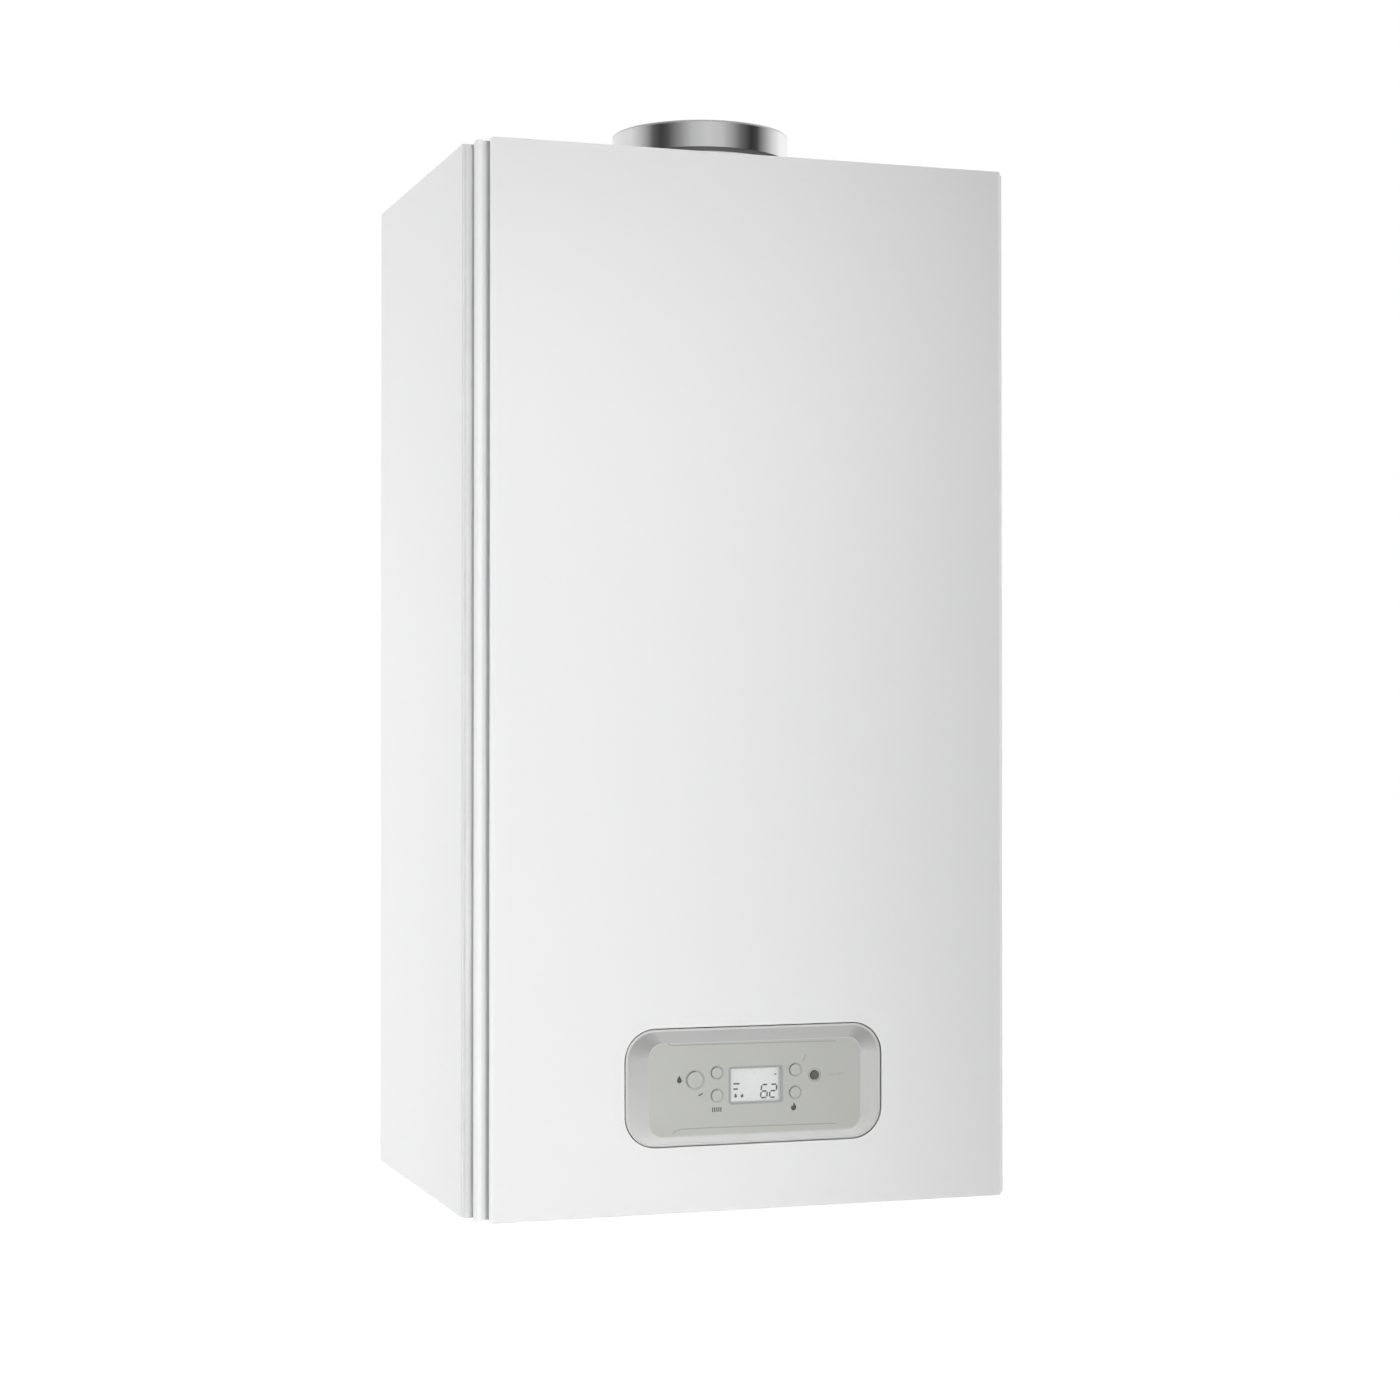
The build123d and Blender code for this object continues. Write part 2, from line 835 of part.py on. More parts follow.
exchanger_z = level(exchanger_level)
exchanger_axis = Axis((0, 0, exchanger_z), (0, -1, 0))
with BuildPart() as exchanger_housing:
    with BuildSketch(facing_plane(exchanger_back)):
        with Locations((0, exchanger_z)):
            Circle(exchanger_radius)
    extrude(amount=exchanger_front - exchanger_back)
    with BuildSketch(facing_plane(exchanger_front)):
        with Locations((0, exchanger_z)):
            Circle(exchanger_flange_radius)
    extrude(amount=exchanger_flange)
    with BuildSketch(level_plane(exchanger_level)):
        with Locations((0, -flue_depth)):
            Circle(flue_stub_radius)
    extrude(amount=flue_shoulder + 2 * port_sleeve - exchanger_level)
    with BuildSketch(level_plane(exchanger_level)):
        with Locations((0, -flue_depth)):
            Circle(sleeve_radius + flue_wall)
        with Locations((vent_x, -vent_depth)):
            Circle(vent_boss)
    extrude(amount=vent_seat - exchanger_level)
    with BuildSketch(level_plane(vent_seat)):
        with Locations((0, -flue_depth)):
            Circle(sleeve_radius + flue_wall)
    extrude(amount=flue_shoulder - vent_seat)
    with BuildSketch(level_plane(port_bottom)):
        with GridLocations(2 * port_x, 0, 2, 1):
            with Locations((0, -port_depth)):
                Circle(port_radius)
    extrude(amount=exchanger_level - port_bottom)
    with BuildSketch(level_plane(condensate_bottom)):
        with Locations((trap_x, -trap_depth)):
            Circle(condensate_stub)
    extrude(amount=exchanger_level - condensate_bottom)
    with BuildSketch(facing_plane(exchanger_back + exchanger_wall)):
        with Locations((0, exchanger_z)):
            Circle(exchanger_radius - exchanger_wall)
    extrude(amount=exchanger_front, mode=Mode.SUBTRACT)
    with BuildSketch(level_plane(exchanger_level)):
        with Locations((0, -flue_depth)):
            Circle(flue_stub_radius - 2 * flue_wall)
    extrude(amount=casing_height - exchanger_level, mode=Mode.SUBTRACT)
    with BuildSketch(level_plane(condensate_bottom)):
        with GridLocations(2 * port_x, 0, 2, 1):
            with Locations((0, -port_depth)):
                Circle(pipe_radius - pipe_wall)
        with Locations((trap_x, -trap_depth)):
            Circle(condensate_stub - trap_wall)
    extrude(amount=exchanger_level - condensate_bottom, mode=Mode.SUBTRACT)
    with BuildSketch(level_plane(port_bottom)):
        with GridLocations(2 * port_x, 0, 2, 1):
            with Locations((0, -port_depth)):
                Circle(pipe_radius + hole_gap)
    extrude(amount=port_sleeve, mode=Mode.SUBTRACT)
    with BuildSketch(facing_plane(exchanger_front)):
        with Locations((0, exchanger_z)):
            with PolarLocations(stud_circle, 6, start_angle=30):
                Circle(door_stud_radius)
    extrude(amount=exchanger_flange + door_stud_length)
save(exchanger_housing, "exchanger_housing")

coil_back = exchanger_back + exchanger_wall + touch_gap
coil_front = coil_back + coil_pitch * coil_turns + coil_tube_height
with BuildPart() as exchanger_coil:
    for wall, mode in ((0, Mode.ADD), (coil_wall, Mode.SUBTRACT)):
        for turn in range(coil_turns):
            middle = coil_back + coil_tube_height + coil_pitch * turn
            with BuildSketch(Plane.YZ):
                with Locations((-middle, exchanger_z + coil_radius)):
                    SlotOverall(
                        coil_tube_width - 2 * wall, coil_tube_height - 2 * wall, rotation=90
                    )
            revolve(axis=exchanger_axis, mode=mode)
        with BuildSketch(facing_plane(coil_back + wall)):
            with Locations((0, exchanger_z)):
                with GridLocations(2 * coil_radius, 0, 2, 1):
                    RectangleRounded(
                        coil_header_width - 2 * wall,
                        2 * (coil_tube_height - wall),
                        coil_header_corner - wall,
                    )
        extrude(amount=coil_front - coil_back - 2 * wall, mode=mode)
    with BuildSketch(level_plane(exchanger_level - coil_tube_height)):
        with GridLocations(2 * coil_radius, 0, 2, 1):
            with Locations((0, -port_depth)):
                Circle(coil_port)
    extrude(amount=2 * coil_wall, mode=Mode.SUBTRACT)
save(exchanger_coil, "exchanger_coil")

with BuildPart() as burner:
    with BuildSketch(facing_plane(door_back - burner_length)):
        with Locations((0, exchanger_z)):
            Circle(burner_radius)
    extrude(amount=burner_length)
    with BuildSketch(facing_plane(door_back - burner_length + burner_wall)):
        with Locations((0, exchanger_z)):
            Circle(burner_radius - burner_wall)
    extrude(amount=burner_length, mode=Mode.SUBTRACT)
    for row in range(burner_rows):
        slot_depth = door_back - burner_length + burner_row_start + burner_row_pitch * row
        for turn in range(burner_slots // 2):
            angle = radians(360 / burner_slots * turn)
            direction = Plane(
                origin=(0, -slot_depth, exchanger_z),
                x_dir=(0, 1, 0),
                z_dir=(cos(angle), 0, sin(angle)),
            )
            with BuildSketch(direction):
                SlotOverall(burner_slot_length, burner_slot_width)
            extrude(amount=2 * burner_radius, both=True, mode=Mode.SUBTRACT)
save(burner, "burner")

with BuildPart() as burner_door:
    with BuildSketch(facing_plane(door_back)):
        with Locations((0, exchanger_z)):
            Circle(exchanger_flange_radius)
            Circle(burner_radius - 4 * burner_wall, mode=Mode.SUBTRACT)
            with PolarLocations(stud_circle, 6, start_angle=30):
                Circle(door_stud_radius + touch_gap, mode=Mode.SUBTRACT)
        with Locations((0, exchanger_z + electrode_rise)):
            with GridLocations(2 * electrode_x, 0, 2, 1):
                Circle(electrode_radius + hole_gap, mode=Mode.SUBTRACT)
    extrude(amount=door_sheet)
    with BuildSketch(facing_plane(door_front)):
        for inset in rib_insets:
            with Locations((0, exchanger_z)):
                Circle(exchanger_radius - inset)
                Circle(exchanger_radius - inset - rib_width, mode=Mode.SUBTRACT)
    extrude(amount=rib_height)
    with BuildSketch(facing_plane(door_front)):
        with Locations((0, exchanger_z + electrode_rise)):
            with GridLocations(2 * electrode_x, 0, 2, 1):
                RectangleRounded(electrode_foot_width + rib_relief, electrode_foot_width, electrode_corner)
    extrude(amount=rib_height, mode=Mode.SUBTRACT)
save(burner_door, "burner_door")

with BuildPart() as door_insulation:
    with BuildSketch(facing_plane(door_back - insulation_sheet)):
        with Locations((0, exchanger_z)):
            Circle(exchanger_radius - 2 * exchanger_wall)
            Circle(burner_radius + touch_gap, mode=Mode.SUBTRACT)
        with Locations((0, exchanger_z + electrode_rise)):
            with GridLocations(2 * electrode_x, 0, 2, 1):
                Circle(electrode_radius + hole_gap, mode=Mode.SUBTRACT)
    extrude(amount=insulation_sheet)
save(door_insulation, "door_insulation")

with BuildPart() as door_nuts:
    with BuildSketch(facing_plane(door_front)):
        with Locations((0, exchanger_z)):
            with PolarLocations(stud_circle, 6, start_angle=30):
                RegularPolygon(nut_width / 2, 6, major_radius=False)
                Circle(door_stud_radius + running_gap, mode=Mode.SUBTRACT)
    extrude(amount=nut_height)
save(door_nuts, "door_nuts")

for side, name in ((-1, "ignition_electrode"), (1, "flame_sensor")):
    with BuildPart() as electrode:
        place = (side * electrode_x, exchanger_z + electrode_rise)
        with BuildSketch(facing_plane(door_back - insulation_sheet)):
            with Locations(place):
                Circle(electrode_radius)
        extrude(amount=insulation_sheet + door_sheet)
        with BuildSketch(facing_plane(door_front)):
            with Locations(place):
                RectangleRounded(electrode_foot_width, electrode_foot_height, electrode_corner)
        extrude(amount=electrode_foot)
        with BuildSketch(facing_plane(door_front + electrode_foot)):
            with Locations(place):
                Circle(electrode_cap_radius)
        extrude(amount=electrode_cap)
        with BuildSketch(facing_plane(door_back - insulation_sheet - rod_length)):
            with Locations(place):
                Circle(rod_radius)
        extrude(amount=rod_length)
    save(electrode, name)

# ---------------------------------------------------------------- fan, venturi and mixture duct

shaft_gap = 1.0
shaft_inset = 6.0
impeller_sheet = 2.0
hub_length = 14.0
blade_sheet = 2.0
blade_angle = 25.0
motor_round = 5.0
motor_flange = 3.0
motor_rim = 4.0
plug_width = 24.0
plug_height = 16.0
plug_depth = 14.0
plug_inset = 8.0
venturi_rim = 6.0
venturi_round = 4.0
gas_boss = 10.0
gas_boss_wall = 3.0
gas_boss_start = 2.0
gas_jet = 5.0
chamber_flange = 4.0
chamber_round = 6.0
flange_lap = 1.0

fan_z = level(fan_level)
outlet_wall = duct_radius + duct_wall
with BuildPart() as fan_volute:
    with BuildSketch(facing_plane(fan_back)):
        with Locations((fan_x, fan_z)):
            Circle(fan_radius)
        with Locations((duct_x, (fan_z + level(duct_start)) / 2)):
            Rectangle(2 * outlet_wall, duct_start - fan_level)
    extrude(amount=fan_front - fan_back)
    with BuildSketch(facing_plane(fan_back + fan_wall)):
        with Locations((fan_x, fan_z)):
            Circle(fan_radius - fan_wall)
        with Locations((duct_x, (fan_z + level(duct_start - fan_wall)) / 2)):
            Rectangle(2 * (outlet_wall - fan_wall), duct_start - fan_level - fan_wall)
    extrude(amount=fan_front - fan_back - 2 * fan_wall, mode=Mode.SUBTRACT)
    with BuildSketch(facing_plane(fan_back)):
        with Locations((fan_x, fan_z)):
            Circle(fan_shaft + shaft_gap)
    extrude(amount=fan_wall, mode=Mode.SUBTRACT)
    with BuildSketch(facing_plane(fan_front - fan_wall)):
        with Locations((fan_x, fan_z)):
            Circle(intake_radius)
    extrude(amount=fan_wall, mode=Mode.SUBTRACT)
    with BuildSketch(level_plane(duct_start - fan_wall)):
        with Locations((duct_x, -duct_depth)):
            Circle(duct_radius - duct_wall)
    extrude(amount=fan_wall, mode=Mode.SUBTRACT)
save(fan_volute, "fan_volute")

impeller_back = fan_back + fan_wall + impeller_gap
impeller_front = fan_front - fan_wall - impeller_gap
with BuildPart() as fan_impeller:
    with BuildSketch(facing_plane(impeller_back)):
        with Locations((fan_x, fan_z)):
            Circle(impeller_radius)
    extrude(amount=impeller_sheet)
    with BuildSketch(facing_plane(impeller_back)):
        with Locations((fan_x, fan_z)):
            Circle(3 * fan_shaft)
    extrude(amount=hub_length)
    with BuildSketch(facing_plane(impeller_front - impeller_sheet)):
        with Locations((fan_x, fan_z)):
            Circle(impeller_radius)
            Circle(intake_radius, mode=Mode.SUBTRACT)
    extrude(amount=impeller_sheet)
    with BuildSketch(facing_plane(impeller_back)):
        with Locations((fan_x, fan_z)):
            with PolarLocations((impeller_radius + intake_radius) / 2, blade_count):
                Rectangle(
                    impeller_radius - intake_radius - blade_sheet, blade_sheet, rotation=blade_angle
                )
    extrude(amount=impeller_front - impeller_back)
    with BuildSketch(facing_plane(motor_back + shaft_inset)):
        with Locations((fan_x, fan_z)):
            Circle(fan_shaft)
    extrude(amount=impeller_back - motor_back)
save(fan_impeller, "fan_impeller")

with BuildPart() as fan_motor:
    with BuildSketch(facing_plane(motor_back)):
        with Locations((fan_x, fan_z)):
            Circle(motor_radius)
    extrude(amount=fan_back - motor_back)
    fillet(fan_motor.edges().group_by(Axis.Y)[-1], motor_round)
    with BuildSketch(facing_plane(fan_back - motor_flange)):
        with Locations((fan_x, fan_z)):
            Circle(motor_radius + motor_rim)
    extrude(amount=motor_flange)
    with BuildSketch(facing_plane(motor_back + plug_inset)):
        with Locations((fan_x, fan_z - motor_radius)):
            Rectangle(plug_width, plug_height)
    extrude(amount=plug_depth)
    with BuildSketch(facing_plane(motor_back + shaft_inset - shaft_gap)):
        with Locations((fan_x, fan_z)):
            Circle(fan_shaft + running_gap)
    extrude(amount=fan_back - motor_back, mode=Mode.SUBTRACT)
save(fan_motor, "fan_motor")

with BuildPart() as venturi:
    with BuildSketch(facing_plane(fan_front)):
        with Locations((fan_x, fan_z)):
            Circle(venturi_radius)
            Circle(intake_radius, mode=Mode.SUBTRACT)
    extrude(amount=venturi_length)
    with BuildSketch(facing_plane(fan_front + venturi_length)):
        with Locations((fan_x, fan_z)):
            Circle(venturi_radius + venturi_rim)
            Circle(intake_radius, mode=Mode.SUBTRACT)
    extrude(amount=venturi_rim)
    fillet(venturi.edges().group_by(Axis.Y)[0].sort_by(SortBy.LENGTH)[:1], venturi_round)
    with BuildSketch(Plane.YZ.offset(fan_x + intake_radius + gas_boss_start)):
        with Locations((-gas_tube_front, fan_z)):
            Circle(gas_tube_radius + gas_boss_wall)
    extrude(amount=venturi_radius - intake_radius - gas_boss_start + gas_boss)
    with BuildSketch(Plane.YZ.offset(fan_x)):
        with Locations((-gas_tube_front, fan_z)):
            Circle(gas_jet)
    extrude(amount=2 * venturi_radius, mode=Mode.SUBTRACT)
save(venturi, "venturi")

with BuildPart() as mixture_duct:
    with BuildLine() as duct_route:
        FilletPolyline(
            (duct_x, -duct_depth, level(duct_start)),
            (duct_x, -duct_depth, exchanger_z),
            (duct_x, -duct_front, exchanger_z),
            (-chamber_radius / 2, -duct_front, exchanger_z),
            radius=duct_bend,
        )
    with BuildSketch(Plane(origin=duct_route.line @ 0, z_dir=duct_route.line % 0)):
        Circle(duct_radius)
        Circle(duct_radius - duct_wall, mode=Mode.SUBTRACT)
    sweep()
    with BuildSketch(facing_plane(door_front)):
        with Locations((0, exchanger_z)):
            Circle(chamber_radius)
    extrude(amount=chamber_front - door_front)
    fillet(mixture_duct.edges().group_by(Axis.Y)[0], chamber_round)
    with BuildSketch(facing_plane(door_front)):
        with Locations((0, exchanger_z)):
            Circle(chamber_radius + chamber_rim)
            Circle(chamber_radius - flange_lap, mode=Mode.SUBTRACT)
    extrude(amount=chamber_flange)
    with BuildSketch(facing_plane(door_front)):
        with Locations((0, exchanger_z)):
            Circle(burner_radius - 4 * burner_wall)
    extrude(amount=chamber_front - door_front - 2 * duct_wall, mode=Mode.SUBTRACT)
    with BuildSketch(Plane.YZ.offset(-chamber_radius - duct_wall)):
        with Locations((-duct_front, exchanger_z)):
            Circle(duct_radius - duct_wall)
    extrude(amount=chamber_radius, mode=Mode.SUBTRACT)
save(mixture_duct, "mixture_duct")

# ---------------------------------------------------------------- gas valve and gas pipes

valve_corner = 5.0
valve_chamfer = 2.0
solenoid_radius = 13.0
solenoid_length = 16.0
solenoid_cap_radius = 9.0
solenoid_cap = 8.0
stub_wall = 6.0
outlet_boss_wall = 5.0
gas_bend = 17.6
gas_tube_bend = 14.0

valve_z = level(valve_bottom + valve_height / 2)
with BuildPart() as gas_valve:
    with BuildSketch(facing_plane(valve_back)):
        with Locations((valve_x, valve_z)):
            RectangleRounded(valve_width, valve_height, valve_corner)
    extrude(amount=valve_depth)
    chamfer(gas_valve.edges().group_by(Axis.Y)[0], valve_chamfer)
    with BuildSketch(facing_plane(valve_front)):
        with Locations((valve_x, valve_z)):
            with GridLocations(0, valve_height / 2, 1, 2):
                Circle(solenoid_radius)
    extrude(amount=solenoid_length)
    with BuildSketch(facing_plane(valve_front + solenoid_length)):
        with Locations((valve_x, valve_z)):
            with GridLocations(0, valve_height / 2, 1, 2):
                Circle(solenoid_cap_radius)
    extrude(amount=solenoid_cap)
    with BuildSketch(level_plane(valve_bottom - valve_stub)):
        with Locations((valve_x, -gas_tube_depth)):
            Circle(gas_pipe_radius + stub_wall)
    extrude(amount=valve_stub)
    with BuildSketch(Plane.YZ.offset(valve_x - valve_width / 2 - valve_stub)):
        with Locations((-gas_tube_depth, fan_z)):
            Circle(gas_tube_radius + outlet_boss_wall)
    extrude(amount=valve_stub + valve_chamfer)
save(gas_valve, "gas_valve")

with BuildPart() as gas_pipe:
    with BuildLine() as gas_route:
        FilletPolyline(
            (tails["gas"], -tail_depth, level(tail_bottom)),
            (tails["gas"], -tail_depth, level(gas_rise)),
            (valve_x, -gas_tube_depth, level(gas_rise)),
            (valve_x, -gas_tube_depth, level(valve_bottom - valve_stub)),
            radius=gas_bend,
        )
    with BuildSketch(Plane(origin=gas_route.line @ 0, z_dir=gas_route.line % 0)):
        Circle(gas_pipe_radius)
        Circle(gas_pipe_radius - pipe_wall, mode=Mode.SUBTRACT)
    sweep()
    with BuildSketch(level_plane(tail_bottom)):
        with Locations((tails["gas"], -tail_depth)):
            Circle(large_tail)
            Circle(gas_pipe_radius - pipe_wall / 2, mode=Mode.SUBTRACT)
    extrude(amount=tail_thread)
    with BuildSketch(level_plane(tail_bottom)):
        with Locations((tails["gas"], -tail_depth)):
            Circle(large_tail - tail_neck)
            Circle(gas_pipe_radius - pipe_wall / 2, mode=Mode.SUBTRACT)
    extrude(amount=bottom_level + 2 * union_height - tail_bottom)
    with BuildSketch(level_plane(bottom_level + sheet)):
        with Locations((tails["gas"], -tail_depth)):
            RegularPolygon(union_radius, 6, major_radius=True)
            Circle(gas_pipe_radius, mode=Mode.SUBTRACT)
    extrude(amount=union_height)
save(gas_pipe, "gas_pipe")

with BuildPart() as gas_tube:
    with BuildLine() as tube_route:
        FilletPolyline(
            (valve_x - valve_width / 2 - valve_stub, -gas_tube_depth, fan_z),
            (gas_turn_x, -gas_tube_depth, fan_z),
            (gas_turn_x, -gas_tube_front, fan_z),
            (fan_x + venturi_radius + gas_boss, -gas_tube_front, fan_z),
            radius=gas_tube_bend,
        )
    with BuildSketch(Plane(origin=tube_route.line @ 0, z_dir=tube_route.line % 0)):
        Circle(gas_tube_radius)
        Circle(gas_tube_radius - pipe_wall, mode=Mode.SUBTRACT)
    sweep()
save(gas_tube, "gas_tube")

# ---------------------------------------------------------------- expansion vessel

vessel_port_wall = 4.0
vessel_port_reach = 30.0

vessel_z = level(vessel_level)
vessel_axis = Axis((0, 0, vessel_z), (0, -1, 0))


def vessel_outline(inset):
    """Draws half of the vessel's section, or of the space inside its wall."""
    rim = vessel_z + vessel_radius - inset
    back = -vessel_back - inset
    front = -vessel_front + inset
    most = round_share * (vessel_front - vessel_back)
    back_round = min(vessel_back_round, most) - inset
    front_round = min(vessel_front_round, most) - inset
    slope = 1 - sqrt(0.5)
    Line((front, vessel_z), (back, vessel_z))
    Line((back, vessel_z), (back, rim - back_round))
    ThreePointArc(
        (back, rim - back_round),
        (back - slope * back_round, rim - slope * back_round),
        (back - back_round, rim),
    )
    Line((back - back_round, rim), (front + front_round, rim))
    ThreePointArc(
        (front + front_round, rim),
        (front + slope * front_round, rim - slope * front_round),
        (front, rim - front_round),
    )
    Line((front, rim - front_round), (front, vessel_z))


with BuildPart() as expansion_vessel:
    with BuildSketch(Plane.YZ):
        with BuildLine():
            vessel_outline(0)
        make_face()
        with Locations((-(vessel_back + vessel_front) / 2, vessel_z + vessel_radius)):
            Rectangle(vessel_seam, 2 * vessel_seam)
        with Locations((-(back_plate + vessel_back) / 2, vessel_z + vessel_boss / 2)):
            Rectangle(vessel_seat, vessel_boss)
    revolve(axis=vessel_axis)
    with BuildSketch(level_plane(vessel_port_bottom)):
        with Locations((vessel_port_x, -vessel_port_depth)):
            Circle(vessel_pipe_radius + vessel_port_wall)
    extrude(amount=vessel_port_reach)
    with BuildSketch(Plane.YZ):
        with BuildLine():
            vessel_outline(vessel_wall)
        make_face()
    revolve(axis=vessel_axis, mode=Mode.SUBTRACT)
    with BuildSketch(level_plane(vessel_port_bottom)):
        with Locations((vessel_port_x, -vessel_port_depth)):
            Circle(vessel_pipe_radius - pipe_wall)
    extrude(amount=vessel_port_reach, mode=Mode.SUBTRACT)
save(expansion_vessel, "expansion_vessel")

# ---------------------------------------------------------------- water blocks

block_chamfer = 2.0
bore_reach = 20.0
well_floor = 30.0
turbine_floor = 10.0
spider_gap = 3.0
spider_sheet = 3.0
turbine_hub = 1.0
turbine_blade = 1.2
pump_port_wall = 3.0
exchange_corner = 10.0

with BuildPart() as flow_block:
    with BuildSketch(level_plane(block_bottom)):
        with Locations((-(block_outer + block_inner) / 2, -(block_back + block_front) / 2)):
            RectangleRounded(block_outer - block_inner, block_front - block_back, block_corner)
    extrude(amount=block_height)
    chamfer(flow_block.edges().group_by(Axis.Z)[-1], block_chamfer)
    for x, radius in ((tails["heating_flow"], large_tail), (tails["hot_water"], small_tail)):
        with BuildSketch(level_plane(tail_bottom)):
            with Locations((x, -tail_depth)):
                Circle(radius)
        extrude(amount=tail_thread)
        with BuildSketch(level_plane(tail_bottom)):
            with Locations((x, -tail_depth)):
                Circle(radius - tail_neck)
        extrude(amount=block_bottom - tail_bottom)
        with BuildSketch(level_plane(bottom_level + sheet)):
            with Locations((x, -tail_depth)):
                RegularPolygon(min(union_radius, radius + union_wall), 6, major_radius=True)
        extrude(amount=union_height)
    with BuildSketch(level_plane(tail_bottom)):
        with Locations((tails["heating_flow"], -tail_depth)):
            Circle(large_bore)
        with Locations((tails["hot_water"], -tail_depth)):
            Circle(small_bore)
    extrude(amount=block_bottom + bore_reach - tail_bottom, mode=Mode.SUBTRACT)
    with BuildSketch(level_plane(block_bottom + well_floor)):
        with Locations((diverter_x, -diverter_depth)):
            Circle(spindle_well)
    extrude(amount=block_height, mode=Mode.SUBTRACT)
    with BuildSketch(level_plane(block_top - port_sleeve)):
        with Locations((flow_port_x, -port_depth)):
            Circle(pipe_radius + hole_gap)
    extrude(amount=port_sleeve, mode=Mode.SUBTRACT)
save(flow_block, "flow_block")

with BuildPart() as return_block:
    with BuildSketch(level_plane(block_bottom)):
        with Locations(((block_outer + block_inner) / 2, -(block_back + block_front) / 2)):
            RectangleRounded(block_outer - block_inner, block_front - block_back, block_corner)
    extrude(amount=block_height)
    chamfer(return_block.edges().group_by(Axis.Z)[-1], block_chamfer)
    for x, radius in ((tails["cold_water"], small_tail), (tails["heating_return"], large_tail)):
        with BuildSketch(level_plane(tail_bottom)):
            with Locations((x, -tail_depth)):
                Circle(radius)
        extrude(amount=tail_thread)
        with BuildSketch(level_plane(tail_bottom)):
            with Locations((x, -tail_depth)):
                Circle(radius - tail_neck)
        extrude(amount=block_bottom - tail_bottom)
        with BuildSketch(level_plane(bottom_level + sheet)):
            with Locations((x, -tail_depth)):
                RegularPolygon(min(union_radius, radius + union_wall), 6, major_radius=True)
        extrude(amount=union_height)
    with BuildSketch(level_plane(filling_bottom)):
        with Locations((filling_x, -tail_depth)):
            Circle(filling_radius)
    extrude(amount=block_bottom - filling_bottom)
    with BuildSketch(level_plane(tail_bottom)):
        with Locations((tails["heating_return"], -tail_depth)):
            Circle(large_bore)
        with Locations((tails["cold_water"], -tail_depth)):
            Circle(small_bore)
    extrude(amount=block_bottom + turbine_floor - tail_bottom, mode=Mode.SUBTRACT)
    with BuildSketch(level_plane(block_bottom + turbine_floor)):
        with Locations((tails["cold_water"], -tail_depth)):
            Circle(turbine_bore)
    extrude(amount=block_height - 2 * turbine_floor, mode=Mode.SUBTRACT)
    spider_levels = (
        turbine_bottom - spider_gap - spider_sheet, turbine_bottom + turbine_height + spider_gap
    )
    for height in spider_levels:
        with BuildSketch(level_plane(height)):
            with Locations((tails["cold_water"], -tail_depth)):
                Rectangle(2 * turbine_bore + shaft_gap, spider_sheet)
                Circle(2 * turbine_shaft)
                Circle(turbine_shaft + running_gap, mode=Mode.SUBTRACT)
        extrude(amount=spider_sheet)
    with BuildSketch(level_plane(filling_bottom)):
        with Locations((filling_x, -tail_depth)):
            Circle(filling_pin + running_gap)
    extrude(amount=block_bottom - filling_bottom, mode=Mode.SUBTRACT)
    with BuildSketch(level_plane(block_top - port_sleeve)):
        with Locations((pump_x, -(pump_back + pump_front) / 2)):
            Circle(pump_port - pump_port_wall)
    extrude(amount=port_sleeve, mode=Mode.SUBTRACT)
save(return_block, "return_block")

with BuildPart() as flow_turbine:
    with BuildSketch(level_plane(turbine_bottom)):
        with Locations((tails["cold_water"], -tail_depth)):
            Circle(2 * turbine_shaft)
            with PolarLocations((turbine_radius + turbine_hub) / 2, turbine_blades):
                Rectangle(turbine_radius - turbine_hub, turbine_blade)
    extrude(amount=turbine_height)
    with BuildSketch(level_plane(turbine_bottom - spider_gap - spider_sheet)):
        with Locations((tails["cold_water"], -tail_depth)):
            Circle(turbine_shaft)
    extrude(amount=turbine_height + 2 * (spider_gap + spider_sheet))
save(flow_turbine, "flow_turbine")

with BuildPart() as plate_heat_exchanger:
    with BuildSketch(facing_plane(exchange_back)):
        with Locations((0, level(exchange_bottom + exchange_height / 2))):
            RectangleRounded(2 * exchange_half, exchange_height, exchange_corner)
    extrude(amount=exchange_front - exchange_back)
    for step in range(1, int((exchange_front - exchange_back) / plate_pitch)):
        with BuildSketch(facing_plane(exchange_back + step * plate_pitch)):
            with Locations((0, level(exchange_bottom + exchange_height / 2))):
                RectangleRounded(2 * exchange_half, exchange_height, exchange_corner)
                RectangleRounded(
                    2 * (exchange_half - plate_groove),
                    exchange_height - 2 * plate_groove,
                    exchange_corner - plate_groove,
                    mode=Mode.SUBTRACT,
                )
        extrude(amount=plate_groove, mode=Mode.SUBTRACT)
    with BuildSketch(facing_plane(block_front)):
        with Locations((0, level(exchange_bottom + exchange_height / 2))):
            with GridLocations(2 * exchange_port_x, 2 * exchange_port_rise, 2, 2):
                Circle(exchange_port_radius)
    extrude(amount=exchange_back - block_front)
save(plate_heat_exchanger, "plate_heat_exchanger")

# ---------------------------------------------------------------- pump

pump_chamfer = 4.0
pump_flange = 6.0
terminal_inset = 12.0
terminal_width = 20.0
terminal_height = 34.0
terminal_depth = 34.0
pump_eye = 10.0
pump_blades = 7
pump_blade_angle = 30.0
pump_back_gap = 4.0
pump_front_gap = 6.0
pump_shaft_overlap = 10.0
pump_shaft_length = 28.0
pump_shaft_hole = 24.0

